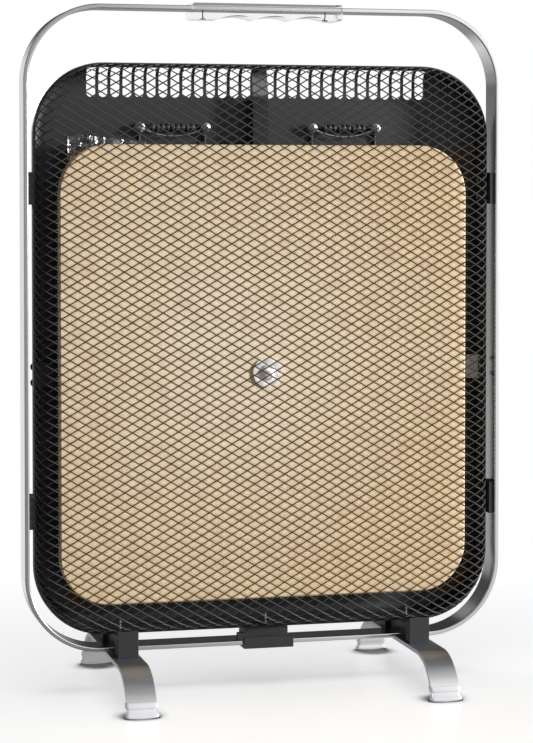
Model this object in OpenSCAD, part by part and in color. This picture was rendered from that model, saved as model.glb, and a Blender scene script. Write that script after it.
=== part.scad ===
// Free-standing radiant panel heater: a strip frame on two bridge feet carries a steel tray
// with a stone heat plate behind an expanded-metal cover, and a control box on its rear wall.
// Millimetres, Z up, the front faces -Y, the origin is on the floor in the middle.

/* [Frame] */
// Overall width of the strip frame
frame_w = 500; // [480:1:540]
// Overall height of the strip frame
frame_h = 652; // [640:1:700]
// Outer radius of the frame's corners
frame_r = 78; // [60:1:95]
// Depth of the strip, front to rear
strip_d = 32; // [30:0.5:40]
// Thickness of the strip
strip_t = 4.7; // [4.2:0.1:6]
// Rounding along the strip's edges
strip_edge = 1.2; // [0.4:0.1:1.8]

/* [Feet] */
// Height of the feet's upper face, on which the frame stands
foot_h = 42; // [38:1:60]
// Middle of each foot inside the frame's side
foot_in = 96.5; // [85:0.5:130]
// Width of the foot strip
foot_w = 29.5; // [28:0.5:40]
// Thickness of the foot strip
foot_t = 4; // [3:0.5:5]
// Distance over both legs of a foot, at the floor
foot_span = 267; // [240:1:300]
// Outer radius of the bends that run down to the floor
foot_r = 55; // [48:1:70]
// Height of the plastic end caps
cap_h = 16; // [10:1:20]
// Wall of the end caps
cap_wall = 1.8; // [1.5:0.1:3]
// Thickness of the end caps below the strip
cap_floor = 3; // [2:0.5:5]

/* [Handle] */
// Length of the grip
grip_l = 157; // [120:1:200]
// Grip material above the strip
grip_over = 2.8; // [2:0.1:4]
// Grip material below the strip
grip_under = 8.4; // [7:0.1:12]
// Grip material in front of and behind the strip
grip_wall = 3.4; // [2.5:0.1:5]
// Finger waves along the underside
wave_n = 3; // [2:1:6]
// Depth of the finger waves
wave_depth = 3.6; // [1:0.1:4]
// Middle of the finger waves right of the grip's middle
wave_shift = 7.5; // [0:0.5:8]
// Distance of each grip screw from the grip's end
grip_screw_in = 14; // [10:0.5:20]

/* [Shell] */
// Room between the shell's rim and the frame's sides
side_gap = 5.8; // [4.5:0.1:12]
// Room for a hand between the frame's top and the shell
hand_room = 53.3; // [45:0.1:90]
// Outer radius of the rim's corners
shell_r = 72; // [60:1:90]
// Height of the rim above the frame's underside
shell_lift = 16; // [14:0.5:20]
// Depth of the shell from its lip to its rear wall
shell_depth = 34.2; // [32:0.1:44]
// Lip in front of the middle of the strip
lip_front = 5; // [3:0.1:6]
// Height of the lip in front of the rim's flange
rim_h = 7; // [5:0.1:8]
// Width of the rim's flange
rim_step = 2.5; // [2.4:0.1:4]
// Rounding of the rear edge
back_r = 11; // [6:0.5:12]
// Thickness of the sheet steel
sheet = 1.2; // [0.8:0.1:1.5]

/* [Vent slots] */
// Number of slots
slot_n = 29; // [15:2:31]
// Row of slots inside the sides of the rim
slot_in = 58.25; // [50:0.25:120]
// Metal left between two slots
slot_bar = 3.3; // [2:0.1:6]
// Lower end of the slots below the top of the rim
slot_low = 33.5; // [24:0.5:36]

/* [Mesh cover] */
// How far the mesh stands in front of the lip
mesh_rise = 19; // [18:0.5:24]
// Radius of the mesh's rolled edge
mesh_roll = 17; // [10:0.5:17.5]
// Thickness of the mesh sheet
mesh_t = 1; // [0.8:0.1:1.5]
// Room between the mesh's skirt and the lip
mesh_gap = 0.2; // [0.1:0.05:0.4]
// Long pitch of the diamonds
net_x = 56; // [54:1:80]
// Short pitch of the diamonds
net_z = 33; // [32:1:60]
// Width of a strand
strand = 2.6; // [1.5:0.1:4]

/* [Heat plate] */
// Sides of the stone plate inside the sides of the rim
plate_side = 25.5; // [22:0.5:50]
// Top of the stone plate below the top of the rim
plate_top = 82.3; // [80:0.1:120]
// Corner radius of the stone plate
plate_r = 50; // [30:1:60]
// Thickness of the stone plate
plate_t = 12; // [10:0.5:14]
// Front face of the plate in front of the middle of the strip
plate_front = 12.5; // [11:0.5:14]
// Lower edge of the plate above the bottom of the rim
plate_lift = 30.7; // [28:0.1:40]
// Chamfer round the plate's front edge
plate_edge = 1.5; // [0.5:0.1:3]
// Thickness of the heater mat
mat_t = 1.5; // [1:0.1:2]
// Heater mat's edge inside the plate's edge
mat_inset = 14; // [8:1:40]
// Thickness of the insulation pad
pad_t = 8; // [6:0.5:8.5]
// Sides of the insulation pad inside the plate's sides
pad_side = 10.5; // [8:0.5:30]
// How far the pad's lifted corner stands above the plate
pad_over = 10.4; // [4:0.1:12]
// Length of the pad's lifted edge
pad_lift_l = 112; // [60:1:140]
// Slope of the pad's edge beside its lifted corner
pad_fold = 3; // [1:0.5:6]

/* [Plate fixing] */
// Diameter of the middle bolt
bolt_d = 8; // [6:0.5:10]
// Diameter of the bright washer
washer_d = 30; // [24:1:40]
// Thickness of the bright washer
washer_t = 2; // [1:0.1:3]
// Diameter of the bolt's domed head
bolt_head_d = 17; // [14:0.5:22]
// Height of the bolt's domed head
bolt_head_h = 4.5; // [3:0.1:5]
// Width across the nut's corners
nut_d = 15; // [13:0.5:18]
// Height of the nut
nut_h = 6.5; // [4:0.1:7.5]
// Height of the cross bar
bar_h = 24.5; // [22:0.5:32]
// Sheet thickness of the cross bar
bar_t = 1.5; // [1:0.1:2]
// Distance between a pair of end screws
bar_pitch = 16; // [12:0.5:18]
// Width of the hanger strap
strap_w = 16; // [14:0.5:24]
// Thickness of the hanger strap
strap_t = 1.5; // [1:0.1:2]
// Middle of the hanger strap beside the middle of the heater
strap_x = -1.5; // [-2.5:0.5:2.5]
// Straight part of the strap below the top wall's inner face
strap_bend = 27; // [20:0.5:40]

/* [Terminals] */
// Middle of each terminal pair beside the middle of the heater
term_x = 91.3; // [80:0.1:110]
// Half the distance between the screws of a pair
term_half = 34.3; // [30:0.1:40]
// Turn of the heater leads below the top of the plate
lead_turn = 54; // [40:1:80]
// Terminals below the top of the rim
term_drop = 64; // [58:0.5:66]
// Diameter of the terminal screws' heads
term_head = 10; // [8:0.5:12]
// Height of the ceramic stand-off
standoff_h = 4; // [3:0.5:5]
// Thickness of a terminal lug
lug_t = 1; // [0.8:0.1:1.2]
// Number of ceramic beads on a lead
bead_n = 9; // [5:1:9]
// Length of a bead
bead_l = 5.2; // [4:0.1:5.4]
// Diameter of a bead
bead_d = 8.4; // [6:0.1:9]
// Diameter of the internal leads
lead_d = 3.4; // [2.5:0.1:4]
// Sag of the bridge wires
wire_sag = 9; // [6:0.5:10]
// Diameter of the bridge wires
wire_d = 1.8; // [1.2:0.1:2]

/* [Brackets] */
// Height of a side bracket
side_h = 32.5; // [28:0.5:40]
// Side brackets inside the top and bottom of the rim
side_in = 126.5; // [90:0.5:170]
// Distance between the two screws of a side bracket
side_pitch = 18; // [14:0.5:22]
// Width of the bottom clamp's top block
clamp_w = 46; // [40:1:60]
// Width of the bottom clamp's base
clamp_base_w = 52; // [46:1:70]
// Wall of the clamp's base
clamp_wall = 3.8; // [3:0.1:5]
// Thickness of the clamp's base under the strip
clamp_floor = 3.2; // [3:0.1:5]
// Height of the clamp's base wall above the strip's underside
clamp_rise = 8.5; // [7:0.1:10]
// Rear edge of the clamp's base behind the base screw
clamp_rear = 4.5; // [4:0.1:8]
// Width of a foot bracket
foot_bracket_w = 21; // [18:0.5:26]
// Foot brackets inside the middle of their feet
foot_bracket_in = 1.5; // [-2:0.5:4]
// How far the foot brackets' toes reach from the middle of the strip
toe_reach = 50; // [46:1:60]
// Depth of a toe
toe_d = 14; // [8:0.5:18]
// Height of a toe above the foot
toe_h = 26.5; // [20:0.5:30]
// How much lower a toe is at its inner side
toe_slope = 10; // [4:0.5:12]
// How far a toe stands out beside its arm
toe_side = 4.5; // [2:0.5:6]
// Diameter of the three base screws
base_screw_d = 4; // [3.5:0.5:5]
// Base screws in front of the middle of the strip
base_screw_front = 1.8; // [1:0.1:2]
// Tip of the base screws above the shell's bottom wall
base_screw_tip = 9.5; // [6:0.5:14]

/* [Control box] */
// Width of the control box
box_w = 132; // [124:1:160]
// Height of the control box
box_h = 84; // [80:1:110]
// Depth of the control box without its cover
box_d = 34; // [32:0.5:45]
// Wall of the control box
box_wall = 2.2; // [1.8:0.1:3]
// Corner radius of the control box
box_r = 9; // [6:0.5:14]
// Middle of the control box above the bottom of the rim
box_lift = 132; // [110:1:180]
// Thickness of the box's cover
cover_t = 3; // [2:0.5:4]
// Thermostat knob beside the middle of the box
knob_x = -32; // [-36:0.5:-28]
// Diameter of the thermostat knob
knob_d = 40; // [30:1:42]
// Height of the thermostat knob
knob_h = 16; // [12:0.5:20]
// Diameter of the thermostat shaft
shaft_d = 6; // [5:0.5:8]
// Running clearance round the shaft and the rocker pins
running = 0.05; // [0.02:0.01:0.08]
// Switches beside the middle of the box
rocker_x = 17; // [15:0.5:20]
// Distance between the two switches
rocker_pitch = 26; // [22:0.5:28]
// Width of a rocker
rocker_w = 12.2; // [10:0.1:14]
// Half length of a rocker
rocker_l = 10.5; // [9:0.1:12]
// Tilt of a rocker each side of level
rocker_tilt = 10; // [6:0.5:12]
// Diameter of a rocker's pins
pin_d = 3; // [2:0.1:4]
// Diameter of the indicator lamp
lamp_d = 9; // [7:0.5:12]
// Bore of the cord inlet
inlet_bore = 7.6; // [6:0.1:10]

/* [Hidden] */
$fn = 48;

// Room round a screw in its hole
fit = 0.1;
// How far a cut runs past the face it cuts
past = 1;

// How far the sections of a rolled edge run into the flat face beside it
land = 1;

// Sizes that follow from the frame
foot_x = frame_w / 2 - foot_in;
foot_bracket_x = foot_x - foot_bracket_in;
shell_w = frame_w - 2 * (strip_t + side_gap);
shell_h = frame_h - strip_t - shell_lift - hand_room;
side_z = shell_h / 2 - side_in;
slot_pitch = (shell_w - 2 * slot_in) / slot_n;
slot_w = slot_pitch - slot_bar;
plate_w = shell_w - 2 * plate_side;
plate_h = shell_h - plate_lift - plate_top;
pad_w = plate_w - 2 * pad_side;
pad_h = plate_h - 2 * pad_side;

// Frame and shell levels
frame_top = foot_h + frame_h;
strip_in = frame_w / 2 - strip_t;
strip_up = foot_h + strip_t;
shell_z0 = foot_h + shell_lift;
shell_z1 = shell_z0 + shell_h;
shell_zc = shell_z0 + shell_h / 2;
wall_x = shell_w / 2 - rim_step;
wall_in_x = wall_x - sheet;
floor_z = shell_z0 + rim_step;
roof_in = shell_z1 - rim_step - sheet;
flange_y = rim_h - lip_front;
flange_rear = flange_y + sheet;
back_y = shell_depth - lip_front;
wall_y = back_y - sheet;

// Plate stack, front to rear
plate_y = -plate_front;
plate_back = plate_y + plate_t;
mat_back = plate_back + mat_t;
pad_back = mat_back + pad_t;
strap_back = pad_back + strap_t;
bar_back = back_y - back_r;
bar_d = bar_back - strap_back;
plate_zc = shell_z0 + plate_lift + plate_h / 2;

// Terminals
term_z = shell_z1 - term_drop;
lug_y = wall_y - standoff_h;
lug_r = term_head / 2 - 0.5;
term_shank_r = 2;
term_head_h = 3.5;
lead_turn_z = plate_zc + plate_h / 2 - lead_turn;

// Small screws
small_r = 1.5;
small_head_r = 3.2;
small_head_h = 2.4;
bar_screw_r = 2;
bar_screw_head_r = 3.5;
bar_screw_head_h = 3;
fin_gap = 0.5;
base_head_h = 3;
side_screw_y = strip_d / 2 - 3.6;

// Control box levels
box_zc = shell_z0 + box_lift;
box_in_y = back_y + box_wall;
box_back = back_y + box_d;
cover_back = box_back + cover_t;
boss_r = 4;
cover_screw_l = 8 + cover_t;
boss_x = box_w / 2 - box_wall - boss_r;
boss_z = box_h / 2 - box_wall - boss_r;
knob_gap = 0.6;
bushing_r = shaft_d / 2 + 2.2;
body_r = 14;
body_l = 18;
shaft_in = 12;
knob_cap = 2.8;
switch_wall = 1.6;
rocker_room = 0.3;
switch_in_w = rocker_w + 2 * rocker_room;
switch_in_h = 2 * rocker_l + 3;
switch_w = switch_in_w + 2 * switch_wall;
switch_h = switch_in_h + 2 * switch_wall;
switch_d = 15;
bezel = 1.5;
pivot_y = cover_back - 2.2;
rocker_z = box_zc - 7;
lamp_z = rocker_z + switch_h / 2 + bezel + lamp_d / 2 + 3;
lamp_x = rocker_x + rocker_pitch / 2;
lead_hole_x = term_x - term_half;
inlet_z = box_zc - box_h / 2;
tilt_size = [box_w / 6, box_d / 3, box_h / 6];

function side_sign(right) = right ? 1 : -1;

// Shape tools

// Rounded rectangle in its own plane
module rounded(w, h, r) {
    square([w - 2 * r, h], center = true);
    square([w, h - 2 * r], center = true);
    for (x = [-1, 1], y = [-1, 1])
        translate([x * (w / 2 - r), y * (h / 2 - r)]) circle(r);
}

// A drawing in X and Z made solid between two depths
module between(y0, y1) {
    translate([0, y1, 0]) rotate([90, 0, 0]) linear_extrude(y1 - y0) children();
}

// A drawing in Y and Z made solid across a width in X
module across(x0, x1) {
    translate([x0, 0, 0]) rotate([90, 0, 90]) linear_extrude(x1 - x0) children();
}

// Sweep a section round a rounded rectangle; x runs out from the corner arcs' centres, y to the front
module loop(w, h, r) {
    rotate([90, 0, 0]) for (k = [0:3]) {
        half = k % 2 == 0 ? [w / 2, h / 2] : [h / 2, w / 2];
        rotate([0, 0, 90 * k]) translate([half[0] - r, half[1] - r, 0]) {
            rotate_extrude(angle = 90) children();
            rotate([90, 0, 0]) linear_extrude(2 * (half[1] - r)) children();
        }
    }
}

module rod_y(r, y0, y1) {
    translate([0, y0, 0]) rotate([-90, 0, 0]) cylinder(r = r, h = y1 - y0);
}

module rod_x(r, x0, x1) {
    translate([x0, 0, 0]) rotate([0, 90, 0]) cylinder(r = r, h = x1 - x0);
}

// Round-headed screw along +Z with its head below the origin
module screw(r, length, head_r, head_h) {
    cylinder(r = r, h = length);
    translate([0, 0, -head_h / 2]) cylinder(r = head_r, h = head_h / 2);
    translate([0, 0, -head_h]) cylinder(r1 = head_r * 0.7, r2 = head_r, h = head_h / 2);
}

// Frame, handle and feet

module strip_section(grow) {
    translate([frame_r - strip_t / 2, 0])
        rounded(strip_t + 2 * grow, strip_d + 2 * grow, strip_edge + grow);
}

module side_screw_places() {
    for (right = [0, 1], up = [-1, 1], k = [-1, 1])
        translate([side_sign(right) * wall_in_x, side_screw_y,
                   shell_zc + up * side_z + k * side_pitch / 2])
            rotate([0, right ? 90 : -90, 0]) children();
}

side_screw_l = strip_in - wall_in_x + strip_t - 1;

module base_screw_places() {
    for (k = [-1, 0, 1]) translate([k * foot_bracket_x, -base_screw_front, 0]) children();
}

grip_screw_x = grip_l / 2 - grip_screw_in;
grip_screw_l = 3;

module frame_loop() {
    color("gainsboro") difference() {
        translate([0, 0, foot_h + frame_h / 2]) loop(frame_w, frame_h, frame_r) strip_section(0);
        side_screw_places() cylinder(r = small_r + fit, h = side_screw_l + fit);
        base_screw_places() translate([0, 0, foot_h - past])
            cylinder(r = base_screw_d / 2 + fit, h = strip_t + 2 * past);
        for (x = [-1, 1]) translate([x * grip_screw_x, 0, frame_top - strip_t - past])
            cylinder(r = small_r + fit, h = grip_screw_l + past + fit);
    }
}

grip_z0 = frame_top - strip_t - grip_under;
grip_z1 = frame_top + grip_over;
grip_d = strip_d + 2 * grip_wall;
wave_l = (grip_l - 2 * grip_screw_in - 4 * small_head_r) / wave_n;
wave_r = (wave_l * wave_l / 4 + wave_depth * wave_depth) / (2 * wave_depth);
grip_hole = 0.15;

module handle_grip() {
    color("white", 0.5) difference() {
        translate([0, 0, (grip_z0 + grip_z1) / 2])
            across(-grip_l / 2, grip_l / 2) rounded(grip_d, grip_z1 - grip_z0, 2.5);
        translate([0, 0, frame_top - strip_t / 2]) across(-grip_l / 2 - past, grip_l / 2 + past)
            rounded(strip_d + 2 * grip_hole, strip_t + 2 * grip_hole, strip_edge + grip_hole);
        for (k = [0:wave_n - 1])
            translate([(k - (wave_n - 1) / 2) * wave_l + wave_shift, 0, grip_z0 + wave_depth - wave_r])
                rod_y(wave_r, -grip_d, grip_d);
        for (x = [-1, 1]) translate([x * grip_screw_x, 0, 0]) {
            translate([0, 0, grip_z0 - past])
                cylinder(r = small_r + fit, h = grip_under + 2 * past);
            translate([0, 0, grip_z0 - past])
                cylinder(r = small_head_r + fit, h = small_head_h + past);
        }
    }
}

module handle_screws() {
    color("dimgray") for (x = [-1, 1])
        translate([x * grip_screw_x, 0, grip_z0 + small_head_h])
            screw(small_r, grip_under - small_head_h + grip_screw_l, small_head_r, small_head_h);
}

// Region under a foot's upper face, whose round shoulders run down to the floor
bend_y = foot_span / 2 - sqrt(foot_r * foot_r - (foot_r - foot_h) * (foot_r - foot_h));

module arch(grow) {
    intersection() {
        union() {
            translate([-bend_y, -past]) square([2 * bend_y, foot_h + grow + past]);
            for (s = [-1, 1]) translate([s * bend_y, foot_h - foot_r]) circle(foot_r + grow);
        }
        translate([-foot_span, -past]) square([2 * foot_span, foot_h + grow + 2 * past]);
    }
}

// Section of a foot, in depth and height
module foot_section(grow) {
    difference() {
        arch(grow);
        arch(-foot_t - grow);
    }
}

module foot_strip(right) {
    x = side_sign(right) * foot_x;
    color("silver") difference() {
        across(x - foot_w / 2, x + foot_w / 2) difference() {
            foot_section(0);
            translate([-foot_span, -2 * past]) square([2 * foot_span, cap_floor + 2 * past]);
        }
        base_screw_places() translate([0, 0, foot_h - foot_t - past])
            cylinder(r = base_screw_d / 2 + fit, h = foot_t + 2 * past);
    }
}

module foot_strip_left() foot_strip(0);
module foot_strip_right() foot_strip(1);

module foot_cap(right, rear) {
    x = side_sign(right) * foot_x;
    half = foot_w / 2;
    color("whitesmoke") difference() {
        across(x - half - cap_wall, x + half + cap_wall) intersection() {
            foot_section(cap_wall);
            translate([rear ? 0 : -foot_span, 0]) square([foot_span, cap_h]);
        }
        across(x - half - fit, x + half + fit) difference() {
            foot_section(fit);
            translate([-foot_span, -2 * past]) square([2 * foot_span, cap_floor + 2 * past]);
        }
    }
}

module foot_cap_front_left() foot_cap(0, 0);
module foot_cap_front_right() foot_cap(1, 0);
module foot_cap_rear_left() foot_cap(0, 1);
module foot_cap_rear_right() foot_cap(1, 1);

// Shell and mesh

// Section of the shell's rim, side wall and rounded rear edge
module shell_section() {
    r1 = shell_r - rim_step;
    c = r1 - back_r;
    translate([shell_r - sheet, -flange_rear]) square([sheet, lip_front + flange_rear]);
    translate([r1 - sheet, -flange_rear]) square([rim_step + sheet, sheet]);
    translate([r1 - sheet, back_r - back_y]) square([sheet, back_y - back_r - flange_y]);
    translate([c, back_r - back_y]) rolled(back_r, sheet, -1);
    translate([c - land, -back_y]) square([land, sheet]);
}

// Quarter ring between +x and the front or rear
module rolled(r, t, front) {
    difference() {
        intersection() {
            circle(r);
            translate([0, front > 0 ? 0 : -r]) square(r);
        }
        circle(r - t);
    }
}

module bar_screw_places() {
    for (right = [0, 1], k = [-1, 1])
        translate([side_sign(right) * wall_x, (strap_back + bar_back) / 2 + bar_t / 2,
                   plate_zc + k * bar_pitch / 2])
            rotate([0, right ? -90 : 90, 0]) children();
}

rivet_pitch = 8;
rivet_y = flange_rear + 6;

module rivet_places() {
    for (k = [-1, 1])
        translate([strap_x + k * rivet_pitch / 2, rivet_y, roof_in + sheet])
            rotate([180, 0, 0]) children();
}

module terminal_places() {
    for (s = [-1, 1], k = [-1, 1]) translate([s * term_x + k * term_half, 0, term_z]) children();
}

module box_screw_places() {
    for (x = [-1, 1], z = [-1, 1])
        translate([x * (boss_x - 14), 0, box_zc + z * (boss_z - 6)]) children();
}

module lead_holes(r) {
    for (s = [-1, 1]) translate([s * lead_hole_x, 0, box_zc]) rod_y(r, wall_y - past, box_in_y + past);
}

module rear_shell() {
    inset = 2 * (rim_step + back_r);
    color([0.12, 0.12, 0.13]) difference() {
        translate([0, 0, shell_zc]) {
            loop(shell_w, shell_h, shell_r) shell_section();
            between(wall_y, back_y)
                rounded(shell_w - inset, shell_h - inset, shell_r - rim_step - back_r);
        }
        between(back_y - back_r, back_y + past) for (k = [0:slot_n - 1])
            translate([(k - (slot_n - 1) / 2) * slot_pitch, shell_z1 - (slot_low - slot_w) / 2])
                rounded(slot_w, slot_low + slot_w, slot_w / 2 - 0.01);
        side_screw_places() translate([0, 0, -past]) cylinder(r = small_r + fit, h = sheet + 2 * past);
        bar_screw_places() translate([0, 0, -past]) cylinder(r = bar_screw_r + fit, h = sheet + 2 * past);
        rivet_places() translate([0, 0, -past]) cylinder(r = small_r + fit, h = sheet + 2 * past);
        base_screw_holes();
        terminal_places() rod_y(term_shank_r + fit, wall_y - past, back_y + past);
        box_screw_places() rod_y(small_r + fit, wall_y - past, back_y + past);
        lead_holes(lead_d / 2 + fit);
    }
}

skirt_r = shell_r - sheet - mesh_gap;
skirt_w = shell_w - 2 * (sheet + mesh_gap);
skirt_h = shell_h - 2 * (sheet + mesh_gap);
mesh_front = lip_front + mesh_rise;
flat_w = skirt_w - 2 * mesh_roll;
flat_h = skirt_h - 2 * mesh_roll;
flat_r = skirt_r - mesh_roll;

// Section of the mesh's skirt and rolled edge
module mesh_section() {
    c = skirt_r - mesh_roll;
    translate([skirt_r - mesh_t, -flange_y]) square([mesh_t, mesh_front - mesh_roll + flange_y]);
    translate([c, mesh_front - mesh_roll]) rolled(mesh_roll, mesh_t, 1);
    translate([c - land, mesh_front - mesh_t]) square([land, mesh_t]);
}

// The diamond gaps of the net, trimmed inside the rolled edge
module net_gaps() {
    cols = ceil(flat_w / net_x);
    rows = ceil(flat_h / net_z);
    gap = [net_x, net_z] / 2 - strand / 2 * norm([net_x, net_z]) * [1 / net_z, 1 / net_x];
    intersection() {
        rounded(flat_w - 2 * strand, flat_h - 2 * strand, flat_r - strand);
        for (i = [-cols:cols], j = [-rows:rows]) if ((i + j) % 2 == 0)
            if (abs(i * net_x) < flat_w && abs(j * net_z) < flat_h)
                translate([i * net_x, j * net_z] / 2)
                    polygon([[gap[0], 0], [0, gap[1]], [-gap[0], 0], [0, -gap[1]]]);
    }
}

module mesh_cover() {
    color([0.2, 0.2, 0.2]) difference() {
        translate([0, 0, shell_zc]) {
            loop(skirt_w, skirt_h, skirt_r) mesh_section();
            between(-mesh_front, mesh_t - mesh_front) difference() {
                rounded(flat_w, flat_h, flat_r);
                net_gaps();
            }
        }
        base_screw_holes();
    }
}

// Heat plate, its fixing and what lies behind it

module bolt_hole() {
    translate([0, 0, plate_zc]) rod_y(bolt_d / 2 + fit, plate_y - washer_t - past, bar_back);
}

module stone_plate() {
    e = plate_edge;
    color([0.86, 0.76, 0.6]) difference() {
        translate([0, 0, plate_zc]) {
            between(plate_y + e, plate_back) rounded(plate_w, plate_h, plate_r);
            between(plate_y, plate_y + e) rounded(plate_w - 2 * e, plate_h - 2 * e, plate_r - e);
            loop(plate_w, plate_h, plate_r)
                polygon([[plate_r - e, plate_front - e], [plate_r, plate_front - e],
                         [plate_r - e, plate_front]]);
        }
        bolt_hole();
    }
}

module plate_washer() {
    color("silver") difference() {
        translate([0, 0, plate_zc]) rod_y(washer_d / 2, plate_y - washer_t, plate_y);
        bolt_hole();
    }
}

bolt_tip = strap_back + bar_t + nut_h;

module plate_bolt() {
    seat = plate_y - washer_t;
    dome_r = (bolt_head_d * bolt_head_d / 4 + bolt_head_h * bolt_head_h) / (2 * bolt_head_h);
    color("silver") translate([0, 0, plate_zc]) {
        rod_y(bolt_d / 2, seat, bolt_tip);
        intersection() {
            translate([0, seat - bolt_head_h + dome_r, 0]) rotate([-90, 0, 0]) sphere(dome_r);
            rod_y(bolt_head_d, seat - bolt_head_h - past, seat);
        }
    }
}

module plate_nut() {
    color("gray") difference() {
        translate([0, strap_back + bar_t, plate_zc]) rotate([-90, 0, 0])
            cylinder(d = nut_d, h = nut_h, $fn = 6);
        translate([0, 0, plate_zc]) rod_y(bolt_d / 2 + fit, strap_back, bar_back + past);
    }
}

module heater_mat() {
    color("firebrick") difference() {
        translate([0, 0, plate_zc]) between(plate_back, mat_back)
            rounded(plate_w - 2 * mat_inset, plate_h - 2 * mat_inset, plate_r - mat_inset / 2);
        bolt_hole();
    }
}

module heater_lead_places() {
    for (s = [-1, 1]) translate([s * (term_x + term_half), 0, 0]) children();
}

// Pad hidden by the plate, but for its top left corner, which is pulled up past the plate's edge
module insulation_pad() {
    left = -pad_w / 2;
    top = plate_h / 2 + pad_over;
    color("lightsteelblue") difference() {
        translate([0, 0, plate_zc]) between(mat_back, pad_back) {
            rounded(pad_w, pad_h, plate_r);
            polygon([[left, 0], [left, top - pad_fold], [left + pad_over, top],
                     [left + pad_lift_l, plate_h / 2 - 1], [left + pad_lift_l, 0]]);
        }
        bolt_hole();
        heater_lead_places() translate([0, 0, lead_turn_z])
            rod_y(lead_d / 2 + fit, mat_back - past, pad_back + past);
    }
}

module cross_bar() {
    y0 = strap_back;
    half = bar_h / 2;
    color([0.45, 0.45, 0.46]) difference() {
        translate([0, 0, plate_zc]) {
            translate([-wall_in_x, y0, -half]) cube([2 * wall_in_x, bar_t, bar_h]);
            for (z = [-half, half - bar_t])
                translate([-wall_in_x, y0, z]) cube([2 * wall_in_x, bar_d, bar_t]);
            for (x = [-wall_in_x, wall_in_x - bar_t])
                translate([x, y0, -half]) cube([bar_t, bar_d, bar_h]);
        }
        bolt_hole();
        bar_screw_places() cylinder(r = bar_screw_r + fit, h = sheet + bar_t + past);
    }
}

module cross_bar_screws() {
    color([0.1, 0.1, 0.1]) bar_screw_places()
        screw(bar_screw_r, sheet + bar_t + 3, bar_screw_head_r, bar_screw_head_h);
}

// Strap: straight behind the pad, leaning back to the roof, with a flange under it and a
// stiffening fin towards the rear wall above the plate
module hanger_strap() {
    low = plate_zc - bar_h / 2 - 2;
    bend = roof_in - strap_bend;
    top_y = back_y - back_r - 1;
    edge = strap_x + strap_w / 2;
    fin_low = plate_zc + plate_h / 2 - strap_bend;
    color([0.4, 0.4, 0.41]) difference() {
        union() {
            across(edge - strap_w, edge)
                polygon([[pad_back, low], [strap_back, low], [strap_back, bend], [top_y, roof_in],
                         [flange_rear + 1.5, roof_in], [flange_rear + 1.5, roof_in - strap_t],
                         [top_y - strap_t, roof_in - strap_t], [pad_back, bend]]);
            across(edge - strap_t, edge) translate([pad_back, fin_low])
                square([wall_y - fin_gap - pad_back, bend - fin_low]);
        }
        bolt_hole();
        rivet_places() translate([0, 0, -past])
            cylinder(r = small_r + fit, h = sheet + strap_t + 2 * past);
    }
}

module strap_rivets() {
    color([0.2, 0.2, 0.2]) rivet_places()
        screw(small_r, sheet + strap_t + 0.5, small_head_r - 0.6, small_head_h / 2);
}

// Terminals and internal leads

module terminal_standoffs() {
    color("ivory") terminal_places() difference() {
        rod_y(lug_r, lug_y, wall_y);
        rod_y(term_shank_r + fit, lug_y - past, wall_y + past);
    }
}

head_y = lug_y - 3 * lug_t;

module terminal_screws() {
    color("silver") terminal_places() translate([0, head_y, 0]) rotate([-90, 0, 0])
        screw(term_shank_r, back_y - head_y + 1, term_head / 2, term_head_h);
}

// A ring lug in one of the three layers under a terminal's head
module lug(layer) {
    y1 = lug_y - layer * lug_t;
    difference() {
        rod_y(lug_r, y1 - lug_t, y1);
        rod_y(term_shank_r + fit, y1 - lug_t - past, y1 + past);
    }
}

// A wire that leaves a lug without closing its hole
module from_lug(layer) {
    lug(layer);
    difference() {
        children();
        rod_y(lug_r - 0.5, wall_y - 4 * standoff_h, wall_y);
    }
}

module bead_lead(s) {
    mid = lug_y - lug_t / 2;
    color([0.16, 0.15, 0.15]) translate([s * term_x, 0, term_z]) {
        for (k = [-1, 1]) translate([k * term_half, 0, 0]) from_lug(0)
            translate([0, mid, 0]) rod_x(lug_t / 2, min(0, -k * term_half), max(0, -k * term_half));
        translate([-bead_n * bead_l / 2, mid, 0]) rotate([0, 90, 0]) rotate_extrude()
            polygon(concat([[0, 0]], [for (k = [0:bead_n - 1], p = [0:3])
                [bead_d / 2 * [0.72, 1, 1, 0.72][p], bead_l * (k + [0, 0.2, 0.8, 1][p])]],
                [[0, bead_n * bead_l]]));
    }
}

module bead_lead_left() bead_lead(-1);
module bead_lead_right() bead_lead(1);

// Wire that hangs in an arc between two lugs, in front of the beads
module bridge_wire(s) {
    y = lug_y - 2.5 * lug_t;
    arc_r = (term_half * term_half + wire_sag * wire_sag) / (2 * wire_sag);
    half_turn = asin(term_half / arc_r);
    color("darkgray") translate([s * term_x, 0, term_z]) {
        for (k = [-1, 1]) translate([k * term_half, 0, 0]) lug(2);
        difference() {
            translate([0, y, arc_r - wire_sag]) rotate([90, 0, 0]) rotate([0, 0, -90 - half_turn])
                rotate_extrude(angle = 2 * half_turn) translate([arc_r, 0]) circle(wire_d / 2);
            for (k = [-1, 1]) translate([k * term_half, 0, 0])
                rod_y(lug_r - 0.5, wall_y - 4 * standoff_h, wall_y);
            translate([-term_half - lug_r - past, lug_y - 2 * lug_t, -lug_r])
                cube([2 * (term_half + lug_r + past), lug_t, 2 * lug_r]);
            translate([-term_half - lug_r - past, lug_y - 4 * lug_t, -lug_r])
                cube([2 * (term_half + lug_r + past), lug_t, 2 * lug_r]);
        }
    }
}

module bridge_wire_left() bridge_wire(-1);
module bridge_wire_right() bridge_wire(1);

lead_y = wall_y - lead_d / 2 - 0.3;

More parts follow.
